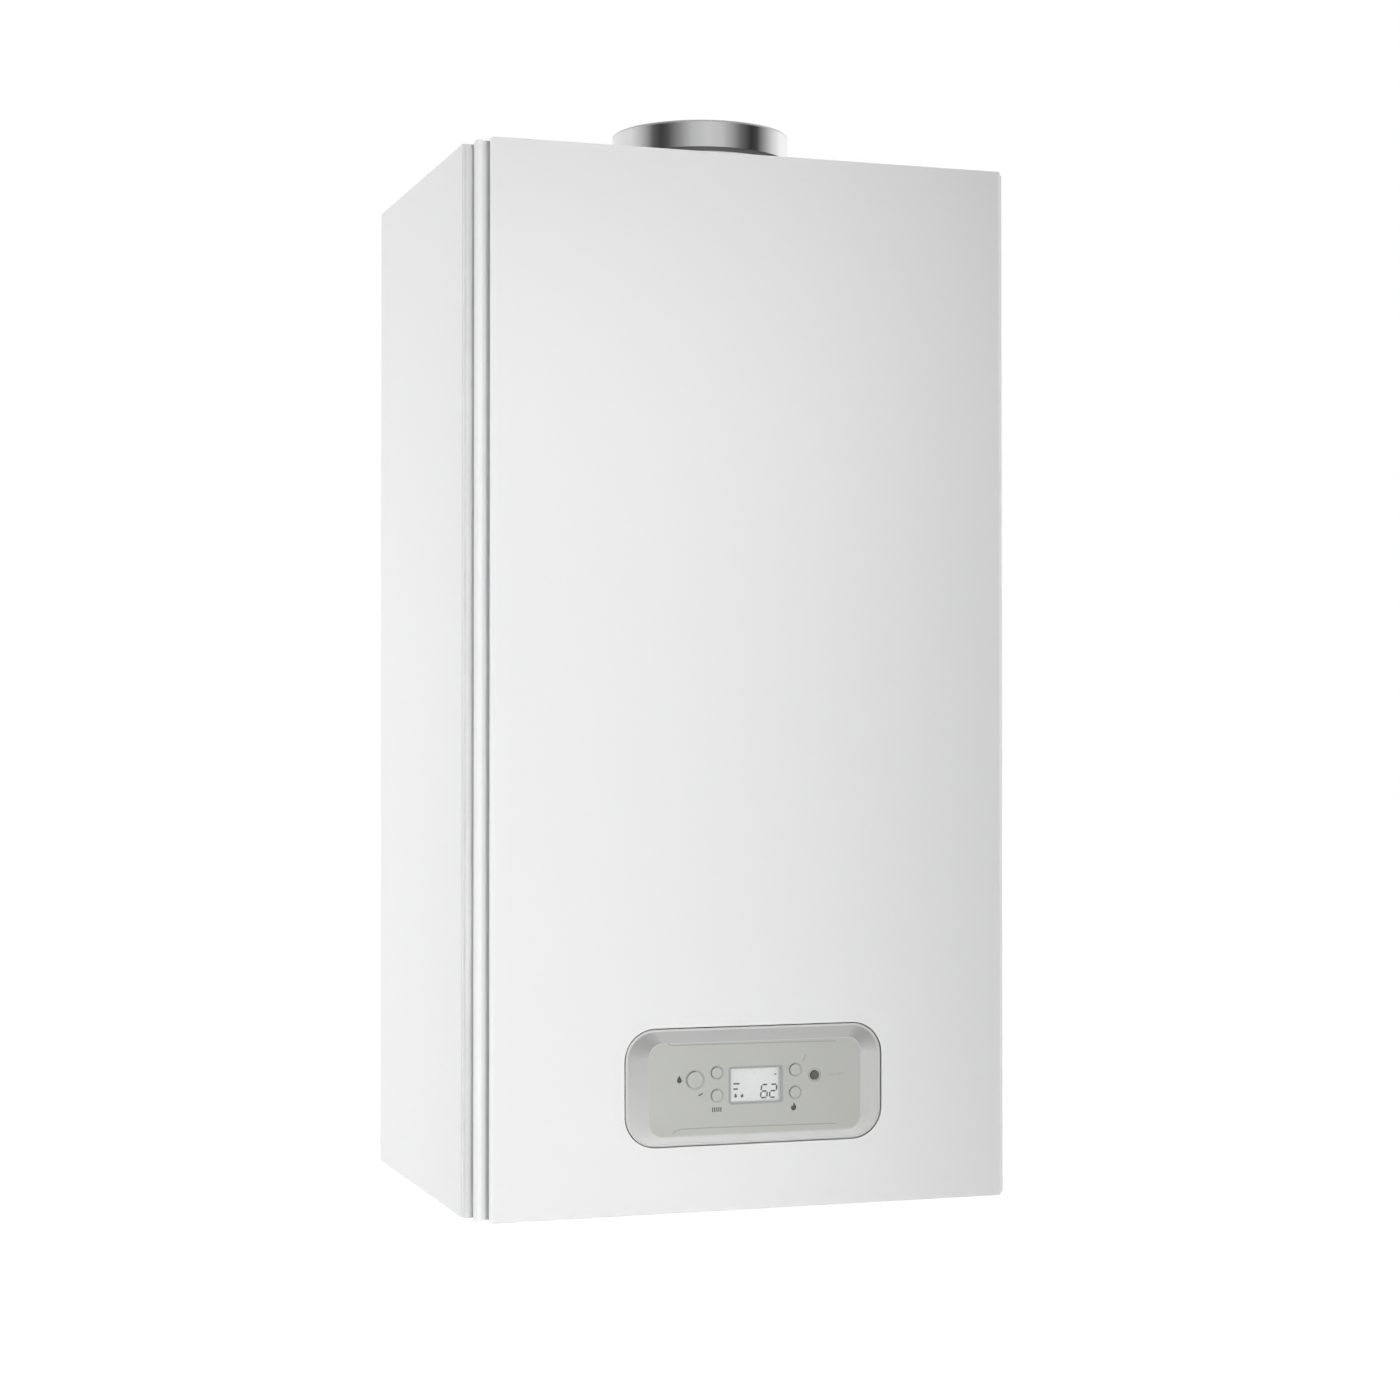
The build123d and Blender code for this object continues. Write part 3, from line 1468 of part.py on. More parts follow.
pump_z = level(pump_level)
with BuildPart() as pump_volute:
    with BuildSketch(facing_plane(pump_back)):
        with Locations((pump_x, pump_z)):
            Circle(pump_radius)
    extrude(amount=pump_front - pump_back)
    chamfer(pump_volute.edges().group_by(Axis.Y)[-1], pump_chamfer)
    with BuildSketch(level_plane(block_top)):
        with Locations((pump_x, -pump_middle)):
            Circle(pump_port + pump_port_wall)
    extrude(amount=pump_level - block_top)
    with BuildSketch(level_plane(pump_level)):
        with Locations((pump_x, -pump_middle)):
            Circle(pump_port)
    extrude(amount=pump_outlet_top - pump_level)
    with BuildSketch(facing_plane(pump_back + pump_wall)):
        with Locations((pump_x, pump_z)):
            Circle(pump_radius - pump_wall)
    extrude(amount=pump_front, mode=Mode.SUBTRACT)
    with BuildSketch(level_plane(block_top)):
        with Locations((pump_x, -pump_middle)):
            Circle(pump_port - pump_port_wall)
    extrude(amount=pump_level - block_top, mode=Mode.SUBTRACT)
    with BuildSketch(level_plane(pump_level)):
        with Locations((pump_x, -pump_middle)):
            Circle(pipe_radius - pipe_wall)
    extrude(amount=pump_outlet_top - pump_level, mode=Mode.SUBTRACT)
    with BuildSketch(level_plane(pump_outlet_top - port_sleeve)):
        with Locations((pump_x, -pump_middle)):
            Circle(pipe_radius + hole_gap)
    extrude(amount=port_sleeve, mode=Mode.SUBTRACT)
save(pump_volute, "pump_volute")

with BuildPart() as pump_motor:
    with BuildSketch(facing_plane(pump_front)):
        with Locations((pump_x, pump_z)):
            Circle(pump_radius)
    extrude(amount=pump_flange)
    with BuildSketch(facing_plane(pump_front + pump_flange)):
        with Locations((pump_x, pump_z)):
            Circle(pump_motor_radius)
    extrude(amount=pump_motor_length - pump_flange)
    fillet(pump_motor.edges().group_by(Axis.Y)[0], motor_round)
    with BuildSketch(facing_plane(pump_front + terminal_inset)):
        with Locations((pump_x + pump_motor_radius, pump_z)):
            Rectangle(terminal_width, terminal_height)
    extrude(amount=terminal_depth)
    with BuildSketch(facing_plane(pump_front)):
        with Locations((pump_x, pump_z)):
            Circle(pump_shaft + running_gap)
    extrude(amount=pump_shaft_hole, mode=Mode.SUBTRACT)
save(pump_motor, "pump_motor")

with BuildPart() as pump_impeller:
    impeller_start = pump_back + pump_wall + pump_back_gap
    impeller_end = pump_front - pump_front_gap
    with BuildSketch(facing_plane(impeller_start)):
        with Locations((pump_x, pump_z)):
            Circle(pump_impeller_radius)
            Circle(pump_eye, mode=Mode.SUBTRACT)
    extrude(amount=impeller_sheet)
    with BuildSketch(facing_plane(impeller_end - impeller_sheet)):
        with Locations((pump_x, pump_z)):
            Circle(pump_impeller_radius)
    extrude(amount=impeller_sheet)
    with BuildSketch(facing_plane(impeller_start)):
        with Locations((pump_x, pump_z)):
            with PolarLocations((pump_impeller_radius + pump_port) / 2, pump_blades):
                Rectangle(
                    pump_impeller_radius - pump_port, blade_sheet, rotation=pump_blade_angle
                )
    extrude(amount=impeller_end - impeller_start)
    with BuildSketch(facing_plane(impeller_end - pump_shaft_overlap)):
        with Locations((pump_x, pump_z)):
            Circle(pump_shaft)
    extrude(amount=pump_shaft_length)
save(pump_impeller, "pump_impeller")

# ---------------------------------------------------------------- diverter valve

diverter_foot = 6.0
diverter_body = 36.0
diverter_corner = 6.0
diverter_round = 3.0
diverter_cap = 8.0
disc_height = 6.0
spindle_end_gap = 2.0

with BuildPart() as diverter_motor:
    with BuildSketch(level_plane(block_top)):
        with Locations((diverter_x, -diverter_depth)):
            Circle(diverter_radius)
    extrude(amount=diverter_foot)
    with BuildSketch(level_plane(block_top + diverter_foot)):
        with Locations((diverter_x, -diverter_depth)):
            RectangleRounded(diverter_body, diverter_body, diverter_corner)
    extrude(amount=diverter_height - diverter_foot)
    fillet(diverter_motor.edges().group_by(Axis.Z)[-1], diverter_round)
    with BuildSketch(level_plane(block_top)):
        with Locations((diverter_x, -diverter_depth)):
            Circle(spindle_radius + running_gap)
    extrude(amount=diverter_height - diverter_cap, mode=Mode.SUBTRACT)
save(diverter_motor, "diverter_motor")

spindle_bottom = block_bottom + well_floor + touch_gap
spindle_top = block_top + diverter_height - diverter_cap - spindle_stroke - spindle_end_gap
with BuildPart() as diverter_spindle:
    with BuildSketch(level_plane(spindle_bottom)):
        with Locations((diverter_x, -diverter_depth)):
            Circle(spindle_disc)
    extrude(amount=disc_height)
    with BuildSketch(level_plane(spindle_bottom)):
        with Locations((diverter_x, -diverter_depth)):
            Circle(spindle_radius)
    extrude(amount=spindle_top - spindle_bottom)
save(diverter_spindle, "diverter_spindle")

# ---------------------------------------------------------------- water pipes

pipe_bend = 22.5
pipe_drop = 22.0
flow_jog = 54.0
return_jog = 60.0
vessel_pipe_bend = 18.0
vessel_pipe_high = 80.0
vessel_pipe_low = 40.0
nut_wall = 3.0
nut_length = 9.0
nut_lap = 0.5

with BuildPart() as flow_pipe:
    with BuildLine() as flow_route:
        FilletPolyline(
            (-port_x, -port_depth, level(port_bottom + port_sleeve)),
            (-port_x, -port_depth, level(port_bottom - pipe_drop)),
            (flow_port_x, -port_depth, level(port_bottom - flow_jog)),
            (flow_port_x, -port_depth, level(block_top - port_sleeve)),
            radius=pipe_bend,
        )
    with BuildSketch(Plane(origin=flow_route.line @ 0, z_dir=flow_route.line % 0)):
        Circle(pipe_radius)
        Circle(pipe_radius - pipe_wall, mode=Mode.SUBTRACT)
    sweep()
save(flow_pipe, "flow_pipe")

with BuildPart() as return_pipe:
    with BuildLine() as return_route:
        FilletPolyline(
            (port_x, -port_depth, level(port_bottom + port_sleeve)),
            (port_x, -port_depth, level(port_bottom - pipe_drop)),
            (pump_x, -pump_middle, level(port_bottom - return_jog)),
            (pump_x, -pump_middle, level(pump_outlet_top - port_sleeve)),
            radius=pipe_bend,
        )
    with BuildSketch(Plane(origin=return_route.line @ 0, z_dir=return_route.line % 0)):
        Circle(pipe_radius)
        Circle(pipe_radius - pipe_wall, mode=Mode.SUBTRACT)
    sweep()
save(return_pipe, "return_pipe")

vessel_drop_depth = block_back + 2 * vessel_pipe_radius
with BuildPart() as vessel_pipe:
    with BuildLine() as vessel_route:
        FilletPolyline(
            (vessel_port_x, -vessel_port_depth, level(vessel_port_bottom)),
            (vessel_port_x, -vessel_port_depth, level(block_top + vessel_pipe_high)),
            (vessel_port_x, -vessel_drop_depth, level(block_top + vessel_pipe_low)),
            (vessel_port_x, -vessel_drop_depth, level(block_top)),
            radius=vessel_pipe_bend,
        )
    with BuildSketch(Plane(origin=vessel_route.line @ 0, z_dir=vessel_route.line % 0)):
        Circle(vessel_pipe_radius)
        Circle(vessel_pipe_radius - pipe_wall, mode=Mode.SUBTRACT)
    sweep()
    vessel_nuts = (
        (block_top, vessel_drop_depth), (vessel_port_bottom - nut_length, vessel_port_depth)
    )
    for height, depth in vessel_nuts:
        with BuildSketch(level_plane(height)):
            with Locations((vessel_port_x, -depth)):
                RegularPolygon(vessel_pipe_radius + nut_wall, 6, major_radius=True)
                Circle(vessel_pipe_radius - nut_lap, mode=Mode.SUBTRACT)
        extrude(amount=nut_length)
save(vessel_pipe, "vessel_pipe")

# ---------------------------------------------------------------- small water fittings

relief_nut = 8.0
relief_pin_hole = 12.0
relief_pin_length = 11.0
relief_scallops = 8
relief_scallop_out = 2.0
relief_scallop = 4.0
knob_round = 1.0
filling_scallops = 6
filling_scallop_out = 1.5
filling_scallop = 3.0
filling_pin_length = 30.0
vent_nut = 7.0
vent_round = 3.0
vent_stem = 8.0
vent_stem_radius = 4.0
trap_shoulder = 14.0
trap_shoulder_inside = 12.0
trap_shoulder_level = trap_bottom + trap_height + trap_shoulder_inside

with BuildPart() as relief_valve:
    relief_z = level(relief_level)
    with BuildSketch(facing_plane(block_front)):
        with Locations((relief_x, relief_z)):
            Circle(relief_radius)
    extrude(amount=relief_front - block_front)
    with BuildSketch(facing_plane(block_front)):
        with Locations((relief_x, relief_z)):
            RegularPolygon(relief_radius + nut_wall, 6, major_radius=True)
    extrude(amount=relief_nut)
    with BuildSketch(level_plane(tail_bottom)):
        with Locations((relief_x, -relief_pipe_depth)):
            Circle(relief_pipe_radius)
    extrude(amount=tail_thread)
    with BuildSketch(level_plane(tail_bottom)):
        with Locations((relief_x, -relief_pipe_depth)):
            Circle(relief_pipe_radius - tail_neck)
    extrude(amount=relief_level - tail_bottom)
    with BuildSketch(level_plane(tail_bottom)):
        with Locations((relief_x, -relief_pipe_depth)):
            Circle(relief_bore)
    extrude(amount=relief_level - tail_bottom - relief_radius, mode=Mode.SUBTRACT)
    with BuildSketch(facing_plane(relief_front - relief_pin_hole)):
        with Locations((relief_x, relief_z)):
            Circle(relief_pin + running_gap)
    extrude(amount=relief_pin_hole, mode=Mode.SUBTRACT)
save(relief_valve, "relief_valve")

with BuildPart() as relief_knob:
    with BuildSketch(facing_plane(relief_front + touch_gap)):
        with Locations((relief_x, relief_z)):
            Circle(relief_knob_radius)
            with PolarLocations(relief_knob_radius + relief_scallop_out, relief_scallops):
                Circle(relief_scallop, mode=Mode.SUBTRACT)
    extrude(amount=relief_knob_length)
    fillet(relief_knob.edges().group_by(Axis.Y)[0], knob_round)
    with BuildSketch(facing_plane(relief_front - relief_pin_length)):
        with Locations((relief_x, relief_z)):
            Circle(relief_pin)
    extrude(amount=relief_pin_length + touch_gap)
save(relief_knob, "relief_knob")

with BuildPart() as filling_knob:
    knob_top = filling_bottom - touch_gap
    with BuildSketch(level_plane(knob_top - filling_knob_height)):
        with Locations((filling_x, -tail_depth)):
            Circle(filling_knob_radius)
            with PolarLocations(filling_knob_radius + filling_scallop_out, filling_scallops):
                Circle(filling_scallop, mode=Mode.SUBTRACT)
    extrude(amount=filling_knob_height)
    fillet(filling_knob.edges().group_by(Axis.Z)[0], knob_round)
    with BuildSketch(level_plane(knob_top)):
        with Locations((filling_x, -tail_depth)):
            Circle(filling_pin)
    extrude(amount=filling_pin_length)
save(filling_knob, "filling_knob")

with BuildPart() as air_vent:
    with BuildSketch(level_plane(vent_seat)):
        with Locations((vent_x, -vent_depth)):
            RegularPolygon(vent_radius, 6, major_radius=False)
    extrude(amount=vent_nut)
    with BuildSketch(level_plane(vent_seat + vent_nut)):
        with Locations((vent_x, -vent_depth)):
            Circle(vent_radius)
    extrude(amount=vent_height - 2 * vent_nut)
    fillet(air_vent.edges().group_by(Axis.Z)[-1], vent_round)
    with BuildSketch(level_plane(vent_seat + vent_height - vent_stem)):
        with Locations((vent_x, -vent_depth)):
            Circle(vent_stem_radius)
    extrude(amount=vent_stem)
save(air_vent, "air_vent")

with BuildPart() as condensate_trap:
    with BuildSketch(facing_plane(trap_depth)):
        with BuildLine():
            Polyline(
                (trap_x + trap_bore, level(tail_bottom)),
                (trap_x + trap_outlet, level(tail_bottom)),
                (trap_x + trap_outlet, level(tail_bottom + tail_thread)),
                (trap_x + trap_bore + trap_wall, level(tail_bottom + tail_thread)),
                (trap_x + trap_bore + trap_wall, level(trap_bottom)),
                (trap_x + trap_radius, level(trap_bottom)),
                (trap_x + trap_radius, level(trap_bottom + trap_height)),
                (trap_x + trap_neck, level(trap_bottom + trap_height + trap_shoulder)),
                (trap_x + trap_neck, level(trap_top)),
                (trap_x + condensate_stub + touch_gap, level(trap_top)),
                (trap_x + condensate_stub + touch_gap, level(condensate_bottom - touch_gap)),
                (trap_x + condensate_stub - trap_wall, level(condensate_bottom - touch_gap)),
                (trap_x + condensate_stub - trap_wall, level(trap_shoulder_level)),
                (trap_x + trap_radius - trap_wall, level(trap_bottom + trap_height)),
                (trap_x + trap_radius - trap_wall, level(trap_bottom + trap_wall)),
                (trap_x + trap_bore, level(trap_bottom + trap_wall)),
                close=True,
            )
        make_face()
    revolve(axis=upright_axis(trap_x, trap_depth))
save(condensate_trap, "condensate_trap")

with BuildPart() as cable_gland:
    with BuildSketch(level_plane(bottom_level - gland_length / 2)):
        with Locations((gland_x, -gland_depth)):
            RegularPolygon(gland_radius, 6, major_radius=False)
    extrude(amount=gland_length / 2)
    with BuildSketch(level_plane(bottom_level)):
        with Locations((gland_x, -gland_depth)):
            Circle(gland_neck)
    extrude(amount=gland_length / 2)
    with BuildSketch(level_plane(bottom_level - gland_length / 2)):
        with Locations((gland_x, -gland_depth)):
            Circle(gland_bore)
    extrude(amount=gland_length, mode=Mode.SUBTRACT)
save(cable_gland, "cable_gland")

# ---------------------------------------------------------------- control box

tray_round = 3.0
standoff_inset = 20.0
standoff_radius = 5.0
standoff_length = 30.0
board_inset = 12.0
board_sheet = 1.6
relay_inset = 43.0
relay_width = 40.0
relay_height = 32.0
coil_block = 28.0
fuse_width = 34.0
fuse_height = 18.0
capacitor_radius = 9.0
capacitor_pitch = 24.0
board_row = 25.0  # the board's two rows of parts, above and below its middle
part_height = 18.0
socket_count = 7
socket_pitch = 30.0
socket_width = 24.0
socket_depth = 9.0
socket_height = 12.0
face_ledge = 2.0
window_corner = 1.5
display_sheet = 1.6
display_side = 2.0
display_end = 1.0
cell_gap = 0.5
display_post = 2.0
display_post_inset = 4.0
button_round = 0.5

with BuildPart() as control_tray:
    with BuildSketch(facing_plane(box_back)):
        with Locations((0, level(box_level))):
            RectangleRounded(box_width, box_height, box_corner)
    extrude(amount=box_front - box_back)
    fillet(control_tray.edges().group_by(Axis.Y)[-1], tray_round)
    with BuildSketch(facing_plane(box_back + box_wall)):
        with Locations((0, level(box_level))):
            RectangleRounded(box_width - 2 * box_wall, box_height - 2 * box_wall, box_corner - box_wall)
    extrude(amount=box_front, mode=Mode.SUBTRACT)
    for side in (-1, 1):
        with BuildSketch(Plane.YZ.offset(side * (box_width / 2 - box_wall))):
            with Locations((-hinge_depth, level(hinge_level))):
                Circle(hinge_radius)
        extrude(amount=side * (box_wall + lug_inset + lug_sheet))
    with BuildSketch(facing_plane(box_back + box_wall)):
        with Locations((0, level(box_level))):
            with GridLocations(box_width - 2 * standoff_inset, box_height - 2 * standoff_inset, 2, 2):
                Circle(standoff_radius)
    extrude(amount=standoff_length)
save(control_tray, "control_tray")

board_depth = box_back + box_wall + standoff_length
board_front = board_depth + board_sheet
part_x = box_width / 2 - board_inset - relay_inset
with BuildPart() as main_board:
    with BuildSketch(facing_plane(board_depth)):
        with Locations((0, level(box_level))):
            Rectangle(box_width - 2 * board_inset, box_height - 2 * board_inset)
    extrude(amount=board_sheet)
    with BuildSketch(facing_plane(board_front)):
        with Locations((-part_x, level(box_level + board_row))):
            Rectangle(relay_width, relay_height)
        with Locations((-part_x, level(box_level - board_row))):
            Rectangle(coil_block, coil_block)
        with Locations((part_x, level(box_level + board_row))):
            Rectangle(fuse_width, fuse_height)
        with Locations((part_x, level(box_level - board_row))):
            with GridLocations(capacitor_pitch, 0, 2, 1):
                Circle(capacitor_radius)
    extrude(amount=part_height)
    with BuildSketch(facing_plane(board_front)):
        with Locations((0, level(box_level + box_height / 2 - board_inset - socket_depth / 2))):
            with GridLocations(socket_pitch, 0, socket_count, 1):
                Rectangle(socket_width, socket_depth)
    extrude(amount=socket_height)
save(main_board, "main_board")

button_places = {
    "mode_button": (face_x + mode_button_x, window_level + side_button, mode_button),
    "left_upper_button": (face_x - small_button_x, window_level + upper_button, small_button),
    "left_lower_button": (face_x - small_button_x, window_level + lower_button, small_button),
    "right_upper_button": (face_x + small_button_x, window_level + upper_button, small_button),
    "right_lower_button": (face_x + small_button_x, window_level + lower_button, small_button),
    "power_button": (face_x + power_button_x, window_level + side_button, power_button),
}

with BuildPart() as control_fascia:
    with BuildSketch(facing_plane(box_front)):
        with Locations((0, level(box_level))):
            RectangleRounded(box_width, box_height, box_corner)
    extrude(amount=box_plate)
    with BuildSketch(facing_plane(box_front)):
        with Locations((panel_x, level(panel_level))):
            RectangleRounded(
                panel_width - 2 * panel_gap, panel_height - 2 * panel_gap, panel_corner - panel_gap
            )
    extrude(amount=rim_front - box_front)
    inset = panel_gap + rim_width
    with BuildSketch(facing_plane(rim_front)):
        with Locations((panel_x, level(panel_level))):
            RectangleRounded(panel_width - 2 * inset, panel_height - 2 * inset, panel_corner - inset)
    with BuildSketch(facing_plane(face_front)):
        with Locations((face_x, level(face_level))):
            RectangleRounded(face_width, face_height, face_corner)
    loft(mode=Mode.SUBTRACT)
    with BuildSketch(facing_plane(box_front)):
        with Locations((face_x, level(face_level))):
            RectangleRounded(
                face_width - 2 * face_ledge, face_height - 2 * face_ledge, face_corner - face_ledge
            )
    extrude(amount=face_back - box_front, mode=Mode.SUBTRACT)
    with BuildSketch(facing_plane(face_back)):
        with Locations((window_x, level(window_level))):
            RectangleRounded(window_width, window_height, window_corner)
        for x, height, radius in button_places.values():
            with Locations((x, level(height))):
                Circle(radius + button_gap)
    extrude(amount=face_wall + dish_depth, mode=Mode.SUBTRACT)
save(control_fascia, "control_fascia")

lens_back = face_front - lens_gap - lens_sheet
with BuildPart() as display_lens:
    with BuildSketch(facing_plane(lens_back)):
        with Locations((window_x, level(window_level))):
            RectangleRounded(
                window_width - 2 * lens_gap, window_height - 2 * lens_gap, window_corner - lens_gap
            )
    extrude(amount=lens_sheet)
save(display_lens, "display_lens")

display_back = face_back - display_sheet
with BuildPart() as display_module:
    with BuildSketch(facing_plane(display_back)):
        with Locations((window_x, level(window_level))):
            Rectangle(window_width + 2 * display_side, window_height + 2 * display_end)
    extrude(amount=display_sheet)
    with BuildSketch(facing_plane(face_back)):
        with Locations((window_x, level(window_level))):
            Rectangle(window_width - 2 * cell_gap, window_height - 2 * cell_gap)
    extrude(amount=lens_back - face_back)
    with BuildSketch(facing_plane(board_front)):
        with Locations((window_x, level(window_level))):
            with GridLocations(window_width - 2 * display_post_inset, 0, 2, 1):
                Circle(display_post)
    extrude(amount=display_back - board_front)
save(display_module, "display_module")

for name, (x, height, radius) in button_places.items():
    with BuildPart() as button:
        with BuildSketch(facing_plane(face_front + button_proud - button_length)):
            with Locations((x, level(height))):
                Circle(radius)
        extrude(amount=button_length)
        fillet(button.edges().group_by(Axis.Y)[0], button_round)
        with BuildSketch(facing_plane(face_back - touch_gap - button_flange)):
            with Locations((x, level(height))):
                Circle(radius + button_flange)
        extrude(amount=button_flange)
    save(button, name)
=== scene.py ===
"""Looks of the combi boiler: finishes for every CAD node, the printed panel and small details,
a plain white studio and the camera. Lengths are in metres, in the frame of the CAD part, but
what is printed on the panel is drawn in millimetres."""

import math

import bmesh
import bpy
from mathutils import Matrix, Vector


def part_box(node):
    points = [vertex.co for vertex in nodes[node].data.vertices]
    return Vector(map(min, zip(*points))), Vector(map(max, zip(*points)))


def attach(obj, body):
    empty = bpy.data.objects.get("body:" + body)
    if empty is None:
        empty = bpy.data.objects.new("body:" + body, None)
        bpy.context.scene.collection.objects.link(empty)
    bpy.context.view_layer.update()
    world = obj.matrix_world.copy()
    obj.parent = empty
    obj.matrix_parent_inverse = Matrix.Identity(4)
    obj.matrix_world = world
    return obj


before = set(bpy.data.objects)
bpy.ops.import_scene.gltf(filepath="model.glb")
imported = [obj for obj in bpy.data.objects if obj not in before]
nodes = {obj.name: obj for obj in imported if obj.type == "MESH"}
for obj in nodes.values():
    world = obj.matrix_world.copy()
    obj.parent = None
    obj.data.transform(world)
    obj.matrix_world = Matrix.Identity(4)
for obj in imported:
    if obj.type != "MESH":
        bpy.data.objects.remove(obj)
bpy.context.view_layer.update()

MM = 0.001

# ------------------------------------------------------------------ places read from the frame

side_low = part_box("left_side_panel")[0]
cover_low, cover_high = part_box("front_cover")
lens_low, lens_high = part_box("display_lens")
display_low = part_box("display_module")[0]
board_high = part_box("main_board")[1]
collar_low, collar_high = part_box("flue_adapter")
BOTTOM = side_low[2]
FRONT = cover_low[1]
FACE_Y = lens_low[1] - 0.2 * MM  # the panel's flat face
FACE_BOTTOM = lens_low[2] - 22.5 * MM
FACE_TOP = lens_high[2] + 19.5 * MM
# The grooves along each side of the cover, from the cover's side and from its front, where the
# paint is greyed as painted shade.
GROOVE_OUTER = 3.4 * MM
GROOVE_FRONT = 6.2 * MM
GROOVE_BACK = 16.4 * MM
# The side panels' front edge, which lies in the rear groove, where the paint is greyed as painted
# shade.
EDGE_AHEAD = 0.5 * MM
EDGE_DEEP = 1.3 * MM
# The collar, from its lower and upper ends; from the seam's start to its end the colour is a dark
# band of painted shade.
SEAM_START = 12.9 * MM
SEAM_END = 16.2 * MM
LIP_START = 2.2 * MM
LIP_END = 0.6 * MM
BOARD_SHEET = 1.75 * MM
BRASS_TOP = 59.9  # the water blocks' brass tails end at this height above the casing's bottom


def level(height_mm):
    """Z of a height in millimetres above the casing's bottom edge."""
    return BOTTOM + height_mm * MM


# ------------------------------------------------------------------ shader helpers


def new_material(name):
    """A new node material, with its tree and its principled shader."""
    material = bpy.data.materials.new(name)
    material.use_nodes = True
    tree = material.node_tree
    tree.nodes.clear()
    output = tree.nodes.new("ShaderNodeOutputMaterial")
    shader = tree.nodes.new("ShaderNodeBsdfPrincipled")
    tree.links.new(shader.outputs["BSDF"], output.inputs["Surface"])
    return material, tree, shader


def coordinates(tree):
    """The object's own coordinates, in metres."""
    return tree.nodes.new("ShaderNodeTexCoord").outputs["Object"]


def scaled(tree, vector, scale):
    """Coordinates multiplied axis by axis, for stretched grain."""
    mapping = tree.nodes.new("ShaderNodeMapping")
    mapping.inputs["Scale"].default_value = scale
    tree.links.new(vector, mapping.inputs["Vector"])
    return mapping.outputs["Vector"]


def axes(tree, vector):
    """A vector's X, Y and Z sockets, by name."""
    split = tree.nodes.new("ShaderNodeSeparateXYZ")
    tree.links.new(vector, split.inputs["Vector"])
    return split.outputs


def noise(tree, vector, scale, detail=3.0, rough=0.5):
    """Soft noise from 0 to 1."""
    texture = tree.nodes.new("ShaderNodeTexNoise")
    texture.inputs["Scale"].default_value = scale
    texture.inputs["Detail"].default_value = detail
    texture.inputs["Roughness"].default_value = rough
    tree.links.new(vector, texture.inputs["Vector"])
    return texture.outputs["Fac"]


def ramp(tree, value, stops):
    """A colour ramp over a value; stops are (position, colour)."""
    node = tree.nodes.new("ShaderNodeValToRGB")
    elements = node.color_ramp.elements
    for index, (position, colour) in enumerate(stops):
        if index < 2:
            element = elements[index]
            element.position = position
        else:
            element = elements.new(position)
        element.color = (*colour, 1.0)
    tree.links.new(value, node.inputs["Fac"])
    return node.outputs["Color"]


def span(tree, value, low, high, to_low, to_high):
    """A value's range stretched or squeezed to another range."""
    node = tree.nodes.new("ShaderNodeMapRange")
    node.inputs["From Min"].default_value = low
    node.inputs["From Max"].default_value = high
    node.inputs["To Min"].default_value = to_low
    node.inputs["To Max"].default_value = to_high
    tree.links.new(value, node.inputs["Value"])
    return node.outputs["Result"]


def math_node(tree, operation, first, second):
    """One calculation with two sockets or numbers."""
    node = tree.nodes.new("ShaderNodeMath")
    node.operation = operation
    for socket, value in zip(node.inputs, (first, second)):
        if isinstance(value, (int, float)):
            socket.default_value = value
        else:
            tree.links.new(value, socket)
    return node.outputs["Value"]


def mix_colour(tree, factor, first, second):
    """The first colour where the factor is 0, the second where it is 1."""
    node = tree.nodes.new("ShaderNodeMix")
    node.data_type = "RGBA"
    sockets = (node.inputs[0], node.inputs[6], node.inputs[7])
    for socket, value in zip(sockets, (factor, first, second)):
        if isinstance(value, (int, float)):
            socket.default_value = value
        elif isinstance(value, tuple):
            socket.default_value = (*value, 1.0)
        else:
            tree.links.new(value, socket)
    return node.outputs[2]


def add_bump(tree, shader, height, strength, distance):
    """Fine relief on the shader's normal."""
    bump = tree.nodes.new("ShaderNodeBump")
    bump.inputs["Strength"].default_value = strength
    bump.inputs["Distance"].default_value = distance
    tree.links.new(height, bump.inputs["Height"])
    tree.links.new(bump.outputs["Normal"], shader.inputs["Normal"])


def tinted(colour, amount):
    """A colour made lighter or darker."""
    return tuple(min(1.0, channel * amount) for channel in colour)


# ------------------------------------------------------------------ materials


def finish(name, colour, roughness, metallic=0.0, variation=0.06, cloud=9.0, grain=900.0,
           bump=0.08, depth=0.00002, stretch=(1, 1, 1), coat=0.0):
    """A surface with slow colour clouds, a fine grain in its bump and uneven gloss."""
    material, tree, shader = new_material(name)
    place = coordinates(tree)
    clouds = noise(tree, place, cloud, 4.0, 0.6)
    low, high = tinted(colour, 1 - variation), tinted(colour, 1 + variation)
    tree.links.new(ramp(tree, clouds, [(0.3, low), (0.7, high)]), shader.inputs["Base Color"])
    fine = noise(tree, scaled(tree, place, stretch), grain, 2.0, 0.6)
    uneven = span(tree, fine, 0.3, 0.7, max(0.02, roughness - 0.05), min(1.0, roughness + 0.05))
    tree.links.new(uneven, shader.inputs["Roughness"])
    shader.inputs["Metallic"].default_value = metallic
    shader.inputs["Coat Weight"].default_value = coat
    add_bump(tree, shader, fine, bump, depth)
    return material


PAINT_LOW = (0.822, 0.824, 0.826)
PAINT_HIGH = (0.838, 0.839, 0.840)
# Painted shade: the grey of the paint in the cover's side grooves.
GROOVE_SHADE_PAINT = (0.72, 0.722, 0.725)
# Painted shade: the grey of the paint on the side panels' front edges.
EDGE_SHADE_PAINT = (0.66, 0.662, 0.665)


